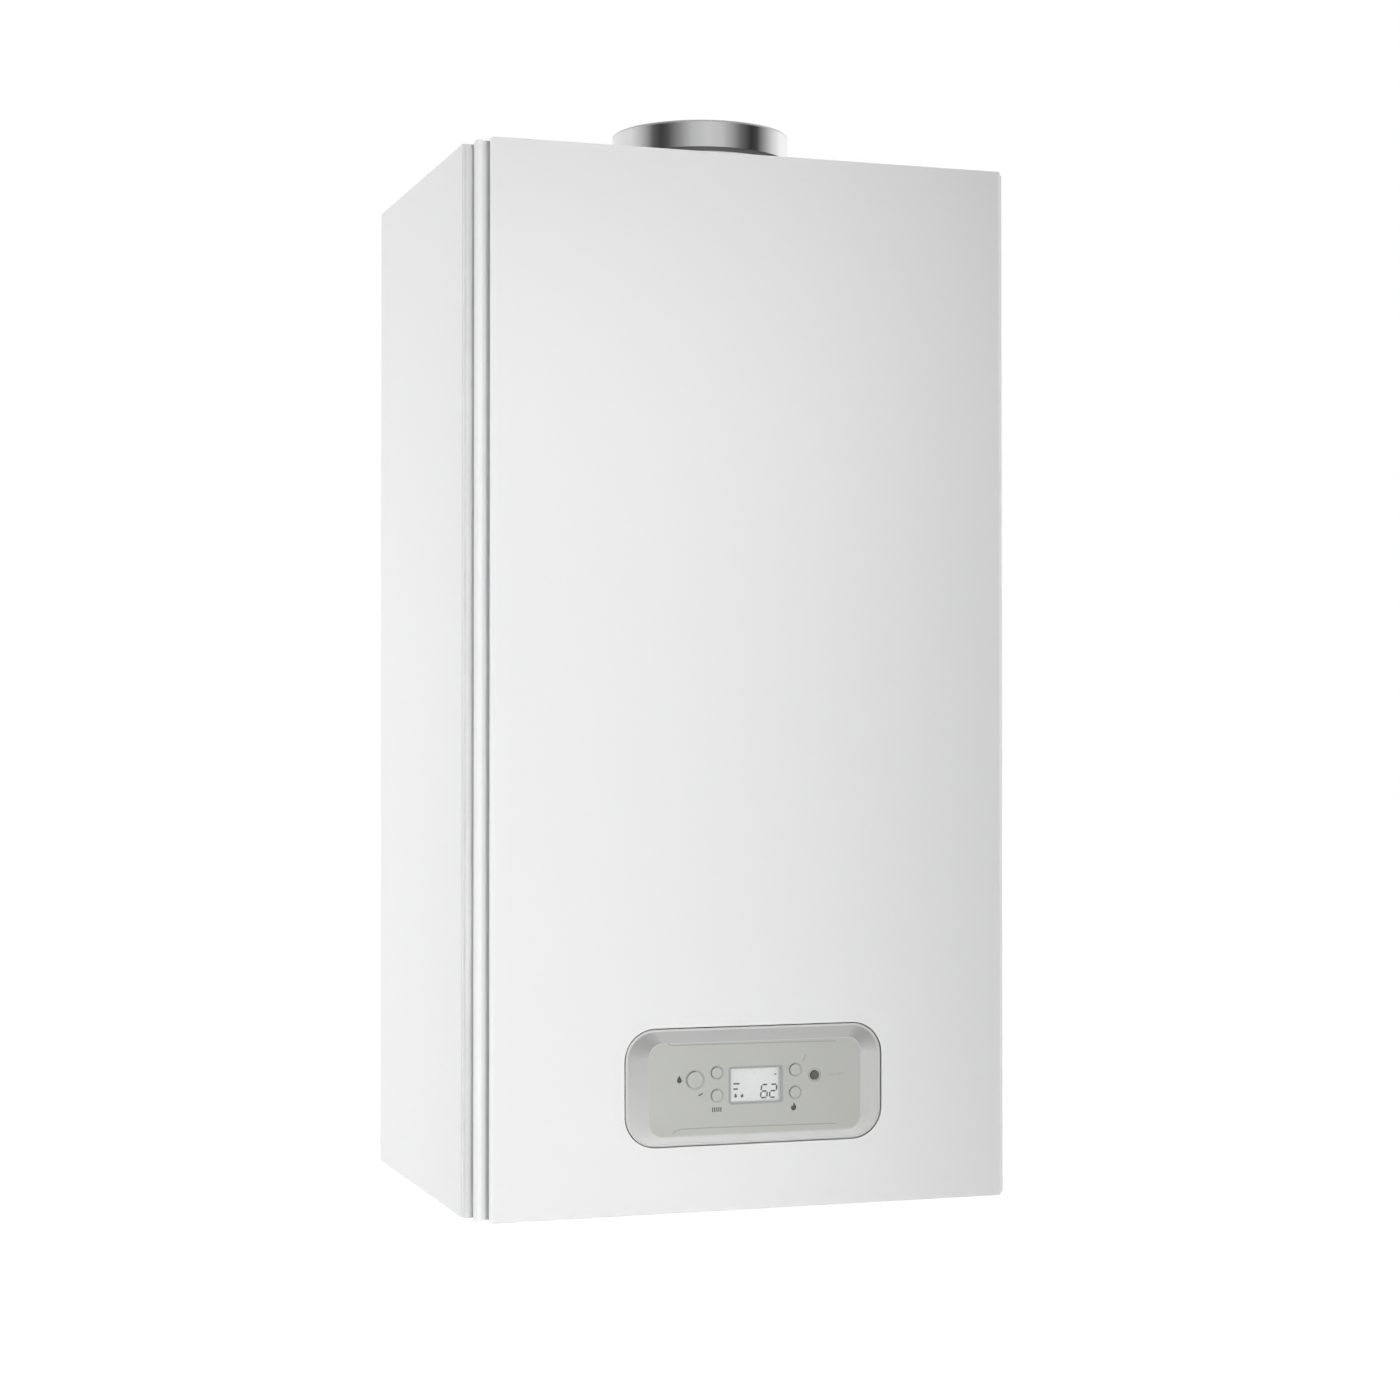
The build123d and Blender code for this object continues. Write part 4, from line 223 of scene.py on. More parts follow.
def powder_coat():
    """White powder coat: a fine orange-peel skin, with painted shade greying the cover's side
    grooves and the side panels' front edges."""
    material, tree, shader = new_material("powder_coat")
    place = coordinates(tree)
    slow = noise(tree, place, 2.2, 3.0, 0.5)
    paint = ramp(tree, slow, [(0.3, PAINT_LOW), (0.7, PAINT_HIGH)])
    axis = axes(tree, place)
    across = math_node(tree, "ABSOLUTE", axis["X"], 0.0)
    in_width = math_node(tree, "LESS_THAN", across, cover_high[0] - GROOVE_OUTER)
    behind_lip = math_node(tree, "GREATER_THAN", axis["Y"], FRONT + GROOVE_FRONT)
    ahead_of_end = math_node(tree, "LESS_THAN", axis["Y"], FRONT + GROOVE_BACK)
    # Painted shade: the cover's side grooves are greyed.
    groove_shade = math_node(tree, "MULTIPLY", in_width, behind_lip)
    groove_shade = math_node(tree, "MULTIPLY", groove_shade, ahead_of_end)
    # Painted shade: the side panels' front edges are greyed.
    edge_start = math_node(tree, "GREATER_THAN", axis["Y"], side_low[1] - EDGE_AHEAD)
    edge_end = math_node(tree, "LESS_THAN", axis["Y"], side_low[1] + EDGE_DEEP)
    edge_shade = math_node(tree, "MULTIPLY", edge_start, edge_end)
    paint = mix_colour(tree, groove_shade, paint, GROOVE_SHADE_PAINT)
    paint = mix_colour(tree, edge_shade, paint, EDGE_SHADE_PAINT)
    tree.links.new(paint, shader.inputs["Base Color"])
    peel = noise(tree, place, 620.0, 2.0, 0.5)
    tree.links.new(span(tree, peel, 0.3, 0.7, 0.36, 0.44), shader.inputs["Roughness"])
    shader.inputs["Specular IOR Level"].default_value = 0.45
    add_bump(tree, shader, peel, 0.10, 0.00003)
    return material


def galvanised():
    """Zinc spangle: flat crystals of slightly different grey."""
    material, tree, shader = new_material("galvanised")
    place = coordinates(tree)
    cells = tree.nodes.new("ShaderNodeTexVoronoi")
    cells.inputs["Scale"].default_value = 95.0
    cells.inputs["Randomness"].default_value = 1.0
    tree.links.new(place, cells.inputs["Vector"])
    tone = ramp(
        tree, cells.outputs["Color"],
        [(0.1, (0.40, 0.42, 0.43)), (0.5, (0.52, 0.54, 0.55)), (0.9, (0.62, 0.64, 0.65))],
    )
    tree.links.new(tone, shader.inputs["Base Color"])
    shader.inputs["Metallic"].default_value = 0.85
    streaks = noise(tree, scaled(tree, place, (1, 1, 30)), 40.0)
    tree.links.new(span(tree, streaks, 0.3, 0.7, 0.34, 0.5), shader.inputs["Roughness"])
    add_bump(tree, shader, streaks, 0.05, 0.00002)
    return material


COLLAR_BASE = (0.72, 0.72, 0.72)
# Painted shade: the dark band in and just above the seam groove.
COLLAR_SEAM_SHADE = (0.135, 0.135, 0.135)
COLLAR_RING = (0.83, 0.83, 0.835)


def collar_metal():
    """Polished ring above a seam painted dark as painted shade, on a satin base; fine lines run
    round it.
    """
    material, tree, shader = new_material("collar_metal")
    place = coordinates(tree)
    height = axes(tree, place)["Z"]
    # Painted shade: a dark band round the seam.
    seam_shade = math_node(tree, "GREATER_THAN", height, collar_low[2] + SEAM_START)
    on_ring = math_node(tree, "GREATER_THAN", height, collar_low[2] + SEAM_END)
    base = mix_colour(tree, seam_shade, COLLAR_BASE, COLLAR_SEAM_SHADE)
    colour = mix_colour(tree, on_ring, base, COLLAR_RING)
    tree.links.new(colour, shader.inputs["Base Color"])
    lines = noise(tree, scaled(tree, place, (1, 1, 60)), 60.0, 2.0)
    wear = span(tree, lines, 0.3, 0.7, 0.0, 0.04)
    satin = span(tree, on_ring, 0, 1, 0.42, 0.07)
    lip = span(tree, height, collar_high[2] - LIP_START, collar_high[2] - LIP_END, 0.0, 0.62)
    rough = math_node(tree, "ADD", math_node(tree, "ADD", satin, wear), lip)
    tree.links.new(rough, shader.inputs["Roughness"])
    tree.links.new(span(tree, on_ring, 0, 1, 0.35, 1.0), shader.inputs["Metallic"])
    add_bump(tree, shader, lines, 0.04, 0.00002)
    return material


def brushed(name, colour, roughness=0.3, stretch=(60, 1, 1)):
    """Metal with short drawn lines along one axis."""
    return finish(name, colour, roughness, metallic=1.0, variation=0.05, cloud=14.0,
                  grain=55.0, bump=0.12, stretch=stretch)


def copper_pipe():
    """Drawn copper with a thin brown tarnish in patches."""
    material, tree, shader = new_material("copper_pipe")
    place = coordinates(tree)
    patches = noise(tree, place, 26.0, 5.0, 0.65)
    colour = ramp(
        tree, patches,
        [(0.30, (0.50, 0.20, 0.10)), (0.55, (0.86, 0.42, 0.26)), (0.85, (0.93, 0.52, 0.36))],
    )
    tree.links.new(colour, shader.inputs["Base Color"])
    shader.inputs["Metallic"].default_value = 1.0
    tree.links.new(span(tree, patches, 0.3, 0.8, 0.42, 0.2), shader.inputs["Roughness"])
    fine = noise(tree, scaled(tree, place, (1, 1, 8)), 300.0)
    add_bump(tree, shader, fine, 0.06, 0.00002)
    return material


def cast_metal(name, colour):
    """Die-cast metal: grainy skin, cloudy grey."""
    return finish(name, colour, 0.46, metallic=0.9, variation=0.10, cloud=20.0, grain=420.0,
                  bump=0.30, depth=0.00006)


def water_block_material():
    """Dark glass-filled plastic above, brass tails and unions below the block."""
    material, tree, shader = new_material("water_block")
    place = coordinates(tree)
    block = math_node(tree, "GREATER_THAN", axes(tree, place)["Z"], level(BRASS_TOP))
    fine = noise(tree, place, 500.0, 2.0)
    clouds = noise(tree, place, 30.0)
    brass = ramp(tree, clouds, [(0.3, (0.58, 0.40, 0.16)), (0.7, (0.78, 0.58, 0.28))])
    plastic = ramp(tree, fine, [(0.3, (0.030, 0.031, 0.034)), (0.7, (0.052, 0.053, 0.057))])
    tree.links.new(mix_colour(tree, block, brass, plastic), shader.inputs["Base Color"])
    tree.links.new(span(tree, block, 0, 1, 1.0, 0.0), shader.inputs["Metallic"])
    tree.links.new(span(tree, block, 0, 1, 0.3, 0.52), shader.inputs["Roughness"])
    add_bump(tree, shader, fine, 0.2, 0.00004)
    return material


def board_material():
    """Green board with paler tracks, black and cream components standing on it."""
    material, tree, shader = new_material("circuit_board")
    place = coordinates(tree)
    axis = axes(tree, place)
    on_board = math_node(tree, "GREATER_THAN", axis["Y"], board_high[1] - BOARD_SHEET)
    bricks = tree.nodes.new("ShaderNodeTexBrick")
    bricks.inputs["Scale"].default_value = 90.0
    bricks.inputs["Mortar Size"].default_value = 0.03
    bricks.inputs["Color1"].default_value = (0.012, 0.11, 0.045, 1)
    bricks.inputs["Color2"].default_value = (0.015, 0.15, 0.06, 1)
    bricks.inputs["Mortar"].default_value = (0.03, 0.22, 0.10, 1)
    turned = tree.nodes.new("ShaderNodeMapping")
    turned.inputs["Rotation"].default_value = (math.pi / 2, 0, 0)
    tree.links.new(place, turned.inputs["Vector"])
    tree.links.new(turned.outputs["Vector"], bricks.inputs["Vector"])
    right = math_node(tree, "GREATER_THAN", axis["X"], 0.0)
    part = mix_colour(tree, right, (0.03, 0.03, 0.032), (0.55, 0.50, 0.38))
    colour = mix_colour(tree, on_board, part, bricks.outputs["Color"])
    tree.links.new(colour, shader.inputs["Base Color"])
    shader.inputs["Roughness"].default_value = 0.35
    return material


# Strengths of the painted shade on the dish's left wall and in its upper corners.
LEFT_WALL_SHADE = 1.1
CORNER_SHADE = 5.0


def fascia_material():
    """Satin silver moulding with a fine sparkle, and painted light and shade: the dish's walls are
    painted pale below and darker above and in the upper corners, and the left wall is painted
    darker upwards."""
    material, tree, shader = new_material("fascia_silver")
    place = coordinates(tree)
    flakes = noise(tree, place, 1500.0, 2.0)
    facing = axes(tree, tree.nodes.new("ShaderNodeTexCoord").outputs["Normal"])
    tilt = span(tree, facing["Z"], -0.5, 0.75, 0.0, 1.0)
    # Painted light and shade: walls that face up are pale, walls that face down are dark.
    silver = ramp(
        tree, tilt,
        [(0.08, (0.46, 0.460, 0.458)), (0.40, (0.61, 0.612, 0.600)), (0.95, (0.87, 0.872, 0.865))],
    )
    sideways = math_node(tree, "ABSOLUTE", facing["X"], 0.0)
    downwards = math_node(tree, "MINIMUM", facing["Z"], 0.0)
    corner = math_node(tree, "MULTIPLY", sideways, downwards)
    drop_down = span(tree, axes(tree, place)["Z"], FACE_BOTTOM, FACE_TOP, 1.0, 0.0)
    left_wall = math_node(tree, "MAXIMUM", facing["X"], 0.0)
    left_shade = math_node(tree, "SUBTRACT", drop_down, LEFT_WALL_SHADE)
    left_shade = math_node(tree, "MULTIPLY", left_wall, left_shade)
    shade = math_node(tree, "ADD", math_node(tree, "MULTIPLY", corner, CORNER_SHADE), left_shade)
    sparkle = span(tree, flakes, 0.3, 0.7, 0.97, 1.03)
    tone = math_node(tree, "ADD", sparkle, shade)
    colour = tree.nodes.new("ShaderNodeVectorMath")
    colour.operation = "SCALE"
    tree.links.new(silver, colour.inputs[0])
    tree.links.new(tone, colour.inputs["Scale"])
    tree.links.new(colour.outputs["Vector"], shader.inputs["Base Color"])
    shader.inputs["Metallic"].default_value = 0.08
    tree.links.new(span(tree, flakes, 0.3, 0.7, 0.30, 0.38), shader.inputs["Roughness"])
    add_bump(tree, shader, flakes, 0.05, 0.00001)
    return material


def glass_window():
    """Thin clear window: almost see-through, with a gloss."""
    material, tree, shader = new_material("window")
    shader.inputs["Base Color"].default_value = (0.93, 0.95, 0.94, 1)
    shader.inputs["Alpha"].default_value = 0.10
    wipe = noise(tree, coordinates(tree), 60.0)
    tree.links.new(span(tree, wipe, 0.3, 0.7, 0.05, 0.10), shader.inputs["Roughness"])
    return material


WHITE_PAINT = powder_coat()
ZINC = galvanised()
FINISHES = {
    "flue_adapter": collar_metal(),
    "flue_socket": brushed("drawn_aluminium", (0.72, 0.73, 0.74), 0.32, (1, 1, 40)),
    "casing_screws": brushed("screw_zinc", (0.66, 0.66, 0.67), 0.28, (30, 1, 1)),
    "cover_clips": brushed("blued_spring", (0.16, 0.17, 0.20), 0.34),
    "cover_seal": finish("seal_foam", (0.69, 0.69, 0.695), 0.9, grain=700, bump=0.6, depth=0.0001),
    "exchanger_housing": finish("composite_shell", (0.030, 0.032, 0.036), 0.5, grain=350, bump=0.35,
                                depth=0.00006),
    "exchanger_coil": brushed("stainless_coil", (0.62, 0.61, 0.59), 0.25),
    "plate_heat_exchanger": brushed("stainless_plates", (0.70, 0.69, 0.67), 0.24, (50, 1, 50)),
    "burner": brushed("burner_steel", (0.52, 0.50, 0.48), 0.36),
    "burner_door": cast_metal("door_casting", (0.60, 0.61, 0.62)),
    "mixture_duct": cast_metal("duct_casting", (0.64, 0.65, 0.66)),
    "fan_volute": cast_metal("volute_casting", (0.62, 0.63, 0.64)),
    "gas_valve": cast_metal("valve_casting", (0.58, 0.59, 0.60)),
    "venturi": cast_metal("venturi_casting", (0.50, 0.51, 0.52)),
    "door_insulation": finish("fibre_board", (0.80, 0.77, 0.68), 0.95, variation=0.08, grain=260,
                              bump=0.7, depth=0.0003),
    "fan_motor": finish("motor_plastic", (0.022, 0.022, 0.024), 0.42, grain=600, bump=0.2),
    "pump_volute": finish("pump_enamel", (0.045, 0.048, 0.052), 0.45, grain=240, bump=0.5,
                          depth=0.00012),
    "pump_motor": finish("pump_enclosure", (0.030, 0.030, 0.032), 0.38, grain=500, bump=0.2),
    "fan_impeller": finish("impeller_plastic", (0.050, 0.050, 0.052), 0.45, grain=400, bump=0.2),
    "flow_block": water_block_material(),
    "gas_pipe": finish("gas_pipe_steel", (0.72, 0.50, 0.07), 0.38, variation=0.05, bump=0.1),
    "flow_pipe": copper_pipe(),
    "relief_valve": finish("machined_brass", (0.74, 0.54, 0.24), 0.26, metallic=1.0, variation=0.08,
                           grain=90, bump=0.12, stretch=(1, 20, 1)),
    "expansion_vessel": finish("vessel_enamel", (0.40, 0.030, 0.026), 0.32, variation=0.05,
                               cloud=12, bump=0.12, coat=0.25),
    "condensate_trap": finish("trap_plastic", (0.74, 0.75, 0.73), 0.4, variation=0.03, bump=0.06),
    "relief_knob": finish("red_knob", (0.56, 0.022, 0.018), 0.34, variation=0.05, bump=0.12),
    "filling_knob": finish("blue_knob", (0.020, 0.085, 0.36), 0.36, variation=0.05, bump=0.12),
    "cable_gland": finish("black_nylon", (0.024, 0.024, 0.026), 0.5, grain=500, bump=0.2),
    "control_tray": finish("tray_plastic", (0.105, 0.110, 0.115), 0.5, grain=700, bump=0.35,
                           depth=0.00005),
    "main_board": board_material(),
    "control_fascia": fascia_material(),
    "display_lens": glass_window(),
    "display_module": finish("display_cell", (0.80, 0.82, 0.805), 0.3, variation=0.02, cloud=30,
                             bump=0.02),
    "mode_button": finish("button_plastic", (0.49, 0.50, 0.465), 0.38, variation=0.03, bump=0.1),
    "power_button": finish("power_plastic", (0.105, 0.108, 0.102), 0.36, variation=0.04, bump=0.1),
    "ignition_electrode": finish("electrode_ceramic", (0.84, 0.82, 0.76), 0.18, variation=0.03,
                                 bump=0.03, coat=0.4),
}
SHARED = {
    "flame_sensor": "ignition_electrode",
    "cover_studs": "casing_screws",
    "door_nuts": "casing_screws",
    "diverter_motor": "fan_motor",
    "pump_impeller": "fan_impeller",
    "return_block": "flow_block",
    "gas_tube": "gas_pipe",
    "return_pipe": "flow_pipe",
    "vessel_pipe": "flow_pipe",
    "air_vent": "relief_valve",
    "diverter_spindle": "relief_valve",
    "flow_turbine": "cable_gland",
    "left_upper_button": "mode_button",
    "left_lower_button": "mode_button",
    "right_upper_button": "mode_button",
    "right_lower_button": "mode_button",
}
PAINTED = ("left_side_panel", "right_side_panel", "top_panel", "front_cover")
GALVANISED = ("wall_bracket", "rear_frame", "bottom_plate", "hinge_rail")


def dress(node_name, material):
    """Gives a CAD node one material."""
    mesh = nodes[node_name].data
    mesh.materials.clear()
    mesh.materials.append(material)


for node_name in nodes:
    if node_name in PAINTED:
        dress(node_name, WHITE_PAINT)
    elif node_name in GALVANISED:
        dress(node_name, ZINC)
    else:
        dress(node_name, FINISHES[SHARED.get(node_name, node_name)])

# ------------------------------------------------------------------ printed panel

PANEL_INK = finish("panel_ink", (0.075, 0.077, 0.072), 0.55, variation=0.05, bump=0.02)
PALE_INK = finish("pale_ink", (0.36, 0.365, 0.34), 0.5, variation=0.05, bump=0.02)
FILM = finish("panel_film", (0.496, 0.504, 0.471), 0.42, variation=0.012, cloud=30, grain=1300,
              bump=0.06, depth=0.00001)
SEGMENT_INK = finish("display_ink", (0.060, 0.064, 0.060), 0.5, variation=0.03, bump=0.02)

WINDOW_X = (lens_low[0] + lens_high[0]) / 2 / MM
WINDOW_LEVEL = ((lens_low[2] + lens_high[2]) / 2 - BOTTOM) / MM


def spot(right, up):
    """A place on the panel, in millimetres from the display window's centre."""
    return WINDOW_X + right, WINDOW_LEVEL + up


FACE_X, FACE_LEVEL = spot(0.2, -1.5)


def thin_solid(name, curve, place, material):
    """Turns a flat curve into a thin solid that faces the room."""
    source = bpy.data.objects.new(name + "_outline", curve)
    bpy.context.collection.objects.link(source)
    bpy.context.view_layer.update()
    evaluated = source.evaluated_get(bpy.context.evaluated_depsgraph_get())
    mesh = bpy.data.meshes.new_from_object(evaluated)
    bpy.data.objects.remove(source)
    bpy.data.curves.remove(curve)
    mesh.transform(Matrix.Translation(place) @ Matrix.Rotation(math.pi / 2, 4, "X"))
    mesh.name = name
    mesh.materials.clear()
    mesh.materials.append(material)
    piece = bpy.data.objects.new(name, mesh)
    bpy.context.collection.objects.link(piece)
    return piece


def flat_piece(name, outlines, y, thickness, material, holes=()):
    """Thin solid sheet cut to closed outlines of (x, height) in millimetres."""
    curve = bpy.data.curves.new(name, "CURVE")
    curve.dimensions = "2D"
    curve.fill_mode = "BOTH"
    curve.extrude = thickness / 2
    for outline in list(outlines) + list(holes):
        spline = curve.splines.new("POLY")
        spline.points.add(len(outline) - 1)
        for point, (x, height) in zip(spline.points, outline):
            point.co = (x * MM, level(height), 0, 1)
        spline.use_cyclic_u = True
    piece = thin_solid(name, curve, (0, y - thickness / 2, 0), material)
    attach(piece, "control_box")


def circle_points(x, height, radius, count=40, start=0.0, end=2 * math.pi):
    """Points round a circle, or along part of one."""
    step = (end - start) / count
    angles = [start + step * index for index in range(count)]
    return [(x + radius * math.cos(angle), height + radius * math.sin(angle)) for angle in angles]


ARC_STEPS = 10


def rounded_rectangle(x, height, width, tall, radius):
    """Corner arcs of a rounded rectangle round a centre, counter-clockwise."""
    points = []
    for quarter, (right, up) in enumerate(((1, 1), (-1, 1), (-1, -1), (1, -1))):
        corner_x = x + right * (width / 2 - radius)
        corner_height = height + up * (tall / 2 - radius)
        for index in range(ARC_STEPS + 1):
            angle = math.pi / 2 * (quarter + index / ARC_STEPS)
            across, upward = radius * math.cos(angle), radius * math.sin(angle)
            points.append((corner_x + across, corner_height + upward))
    return points


def stroke(points, width):
    """Outline of a thin line through points, as one closed loop."""
    left, right = [], []
    for index, point in enumerate(points):
        before = Vector(points[max(0, index - 1)])
        after = Vector(points[min(len(points) - 1, index + 1)])
        along = (after - before).normalized()
        across = Vector((-along.y, along.x)) * width / 2
        left.append(tuple(Vector(point) + across))
        right.append(tuple(Vector(point) - across))
    return left + right[::-1]


def window_outline(margin, radius):
    """The display window's outline with a margin round it."""
    width = (lens_high[0] - lens_low[0]) / MM + 2 * margin
    tall = (lens_high[2] - lens_low[2]) / MM + 2 * margin
    return rounded_rectangle(WINDOW_X, WINDOW_LEVEL, width, tall, radius)


# Each key, with the gap from its cap to the printed ring round it and the ring's width.
KEY_RINGS = {
    "mode_button": (1.1, 0.5),
    "power_button": (1.3, 0.6),
    "left_upper_button": (0.9, 0.4),
    "left_lower_button": (0.9, 0.4),
    "right_upper_button": (0.9, 0.4),
    "right_lower_button": (0.9, 0.4),
}
KEY_FLANGE = 1.2  # behind the face, round each key's cap
keys = {}
for key_name in KEY_RINGS:
    low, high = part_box(key_name)
    keys[key_name] = (
        (low[0] + high[0]) / 2 / MM,
        ((low[2] + high[2]) / 2 - BOTTOM) / MM,
        (high[0] - low[0]) / 2 / MM - KEY_FLANGE,
    )

FILM_WIDTH = 154.6
FILM_TALL = 63.4
FILM_CORNER = 9.6
FILM_SHEET = 0.22 * MM
FILM_Y = FACE_Y + 0.02 * MM
KEY_ROOM = 0.45  # from each key's cap to the film
INK_Y = FACE_Y - 0.20 * MM
INK = 0.06 * MM
film_holes = [circle_points(x, height, radius + KEY_ROOM) for x, height, radius in keys.values()]
film_holes.append(window_outline(margin=0.5, radius=1.6))
film_outline = rounded_rectangle(FACE_X, FACE_LEVEL, FILM_WIDTH, FILM_TALL, FILM_CORNER)
flat_piece("panel_film", [film_outline], FILM_Y, FILM_SHEET, FILM, holes=film_holes)


def line(points, width):
    """A thin line through places on the panel."""
    return stroke([spot(*point) for point in points], width)


# Printed accent lines along the panel's top and bottom edges.
TOP_LINE = [(-63.8, 30.6), (-62.6, 29.7), (-60.2, 29.3), (-43.2, 29.1), (16.8, 28.7), (59.3, 28.3)]
BOTTOM_LINE = [(-60.6, -31.4), (-58.8, -29.8), (-55.3, -28.4), (-33.2, -28.2), (16.8, -28.7),
               (60.0, -29.2)]
THIN_LINE = 0.8
flat_piece("top_accent", [line(TOP_LINE, THIN_LINE)], INK_Y, INK, PALE_INK)
flat_piece("bottom_accent", [line(BOTTOM_LINE, THIN_LINE)], INK_Y, INK, PALE_INK)

for key_name, (gap, width) in KEY_RINGS.items():
    x, height, radius = keys[key_name]
    outer = circle_points(x, height, radius + gap + width / 2)
    inner = circle_points(x, height, radius + gap - width / 2)
    halo_name = key_name.replace("_button", "_halo")
    flat_piece(halo_name, [outer], INK_Y, INK, PALE_INK, holes=[inner])


def drop(x, height, size):
    """A water drop."""
    start, end = math.radians(155), math.radians(385)
    bulb = circle_points(x, height - 0.25 * size, 0.62 * size, 24, start, end)
    return [(x, height + size)] + bulb


def flame(x, height, size):
    """A flame with one curl."""
    shape = [
        (0.0, 1.0), (0.35, 0.45), (0.62, 0.1), (0.66, -0.35), (0.42, -0.78), (0.0, -0.95),
        (-0.42, -0.78), (-0.66, -0.35), (-0.5, 0.05), (-0.28, 0.25), (-0.22, -0.05), (-0.02, 0.5),
    ]
    return [(x + size * a, height + size * b) for a, b in shape]


TAP_PLACE = (-55.7, 5.6)
TAP_SIZE = 2.9
FLAME_PLACE = (27.7, -16.1)
FLAME_SIZE = 3.1
MODE_MARK = [(-42.0, -5.8), (-40.4, -5.4), (-38.8, -4.2)]
MODE_LINE = 0.9
UPPER_TICK = [(34.2, 15.2), (35.5, 17.0), (37.0, 19.6)]
RADIATOR_LEFT = -31.6
RADIATOR_PITCH = 1.5
RADIATOR_BARS = 5
RADIATOR_LOW = -17.6
RADIATOR_HIGH = -14.4
bars = []
for index in range(RADIATOR_BARS):
    bar_x = RADIATOR_LEFT + RADIATOR_PITCH * index
    bars.append(line([(bar_x, RADIATOR_LOW), (bar_x, RADIATOR_HIGH)], THIN_LINE))
flat_piece("tap_icon", [drop(*spot(*TAP_PLACE), TAP_SIZE)], INK_Y, INK, PANEL_INK)
flat_piece("mode_mark", [line(MODE_MARK, MODE_LINE)], INK_Y, INK, PANEL_INK)
flat_piece("flame_icon", [flame(*spot(*FLAME_PLACE), FLAME_SIZE)], INK_Y, INK, PANEL_INK)
flat_piece("radiator_icon", bars, INK_Y, INK, PANEL_INK)
flat_piece("upper_tick", [line(UPPER_TICK, THIN_LINE)], INK_Y, INK, PALE_INK)


def text_piece(name, words, x, height, size, y, material):
    """Generic lettering as a thin solid."""
    curve = bpy.data.curves.new(name, "FONT")
    curve.body = words
    curve.size = size * MM
    curve.align_x = "CENTER"
    curve.align_y = "CENTER"
    curve.extrude = INK / 2
    piece = thin_solid(name, curve, (x * MM, y, level(height)), material)
    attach(piece, "control_box")


LABEL_PLACE = (58.8, 5.0)
LABEL_SIZE = 3.1
text_piece("power_label", "ON/OFF", *spot(*LABEL_PLACE), LABEL_SIZE, INK_Y, PALE_INK)

# ------------------------------------------------------------------ display

SEGMENT_Y = display_low[1] - 0.04 * MM
FRAME_GREY = finish("window_frame", (0.36, 0.365, 0.375), 0.4, variation=0.03, bump=0.04)
frame_outer = window_outline(margin=1.8, radius=2.2)
frame_inner = window_outline(margin=0.3, radius=1.2)
flat_piece("window_frame", [frame_outer], INK_Y, INK, FRAME_GREY, holes=[frame_inner])

READING = "62"
SEGMENTS = {"6": "afgedc", "2": "abged"}
DIGIT_WIDTH = 4.6
DIGIT_HEIGHT = 9.0
DIGIT_PITCH = 6.6
DIGITS_LEFT = 4.0
DIGITS_LOW = -9.4
LEAN = 0.10
BAR_HALF = 0.55
BAR_GAP = 0.35
BAR_POINT = 0.5


def segment_outline(letter, x, height):
    """One bar of a seven-segment numeral with pointed ends, leaning a little."""
    right, middle, top = DIGIT_WIDTH, DIGIT_HEIGHT / 2, DIGIT_HEIGHT
    ends = {
        "a": ((0, top), (right, top)),
        "b": ((right, top), (right, middle)),
        "c": ((right, middle), (right, 0)),
        "d": ((0, 0), (right, 0)),
        "e": ((0, middle), (0, 0)),
        "f": ((0, top), (0, middle)),
        "g": ((0, middle), (right, middle)),
    }
    start, end = (Vector(point) for point in ends[letter])
    along = (end - start).normalized()
    across = Vector((-along.y, along.x)) * BAR_HALF
    start, end = start + along * BAR_GAP, end - along * BAR_GAP
    point = along * BAR_POINT
    loop = [start, start + point + across, end - point + across, end,
            end - point - across, start + point - across]
    return [(x + corner.x + LEAN * corner.y, height + corner.y) for corner in loop]


digits = []
for index, numeral in enumerate(READING):
    digit_place = spot(DIGITS_LEFT + DIGIT_PITCH * index, DIGITS_LOW)
    digits += [segment_outline(letter, *digit_place) for letter in SEGMENTS[numeral]]
flat_piece("display_digits", digits, SEGMENT_Y, INK, SEGMENT_INK)

# Small marks in the display: two lines at the left, a dash at the right, a drop and a flame.
THICK_LINE = 1.1
MARK_SIZE = 1.7
marks = [
    line([(-15.8, 0.9), (-11.4, 0.9)], THICK_LINE),
    line([(-15.8, -2.7), (-12.6, -2.7)], THICK_LINE),
    line([(14.0, 6.6), (15.6, 6.6)], THIN_LINE),
    drop(*spot(-14.2, -7.2), MARK_SIZE),
    flame(*spot(-9.6, -7.2), MARK_SIZE),
]
flat_piece("display_marks", marks, SEGMENT_Y, INK, SEGMENT_INK)

# ------------------------------------------------------------------ studio

world = bpy.data.worlds.new("studio")
bpy.context.scene.world = world
world.use_nodes = True
sky = world.node_tree
sky.nodes.clear()
world_output = sky.nodes.new("ShaderNodeOutputWorld")
paths = sky.nodes.new("ShaderNodeLightPath")


def world_background(strength, colour=None):
    """White light from all round, or light of a given colour."""
    node = sky.nodes.new("ShaderNodeBackground")
    node.inputs["Strength"].default_value = strength
    node.inputs["Color"].default_value = (1, 1, 1, 1)
    if colour is not None:
        sky.links.new(colour, node.inputs["Color"])
    return node.outputs["Background"]


def world_mix(factor, first, second):
    """The first light where the factor is 0, the second where it is 1."""
    node = sky.nodes.new("ShaderNodeMixShader")
    sky.links.new(factor, node.inputs[0])
    sky.links.new(first, node.inputs[1])
    sky.links.new(second, node.inputs[2])
    return node.outputs["Shader"]


AMBIENT = 0.25  # the sky's light on the object; camera and glass see a white one
direction = sky.nodes.new("ShaderNodeTexCoord").outputs["Generated"]
gradient = sky.nodes.new("ShaderNodeTexGradient")
gradient.gradient_type = "RADIAL"
sky.links.new(direction, gradient.inputs["Vector"])
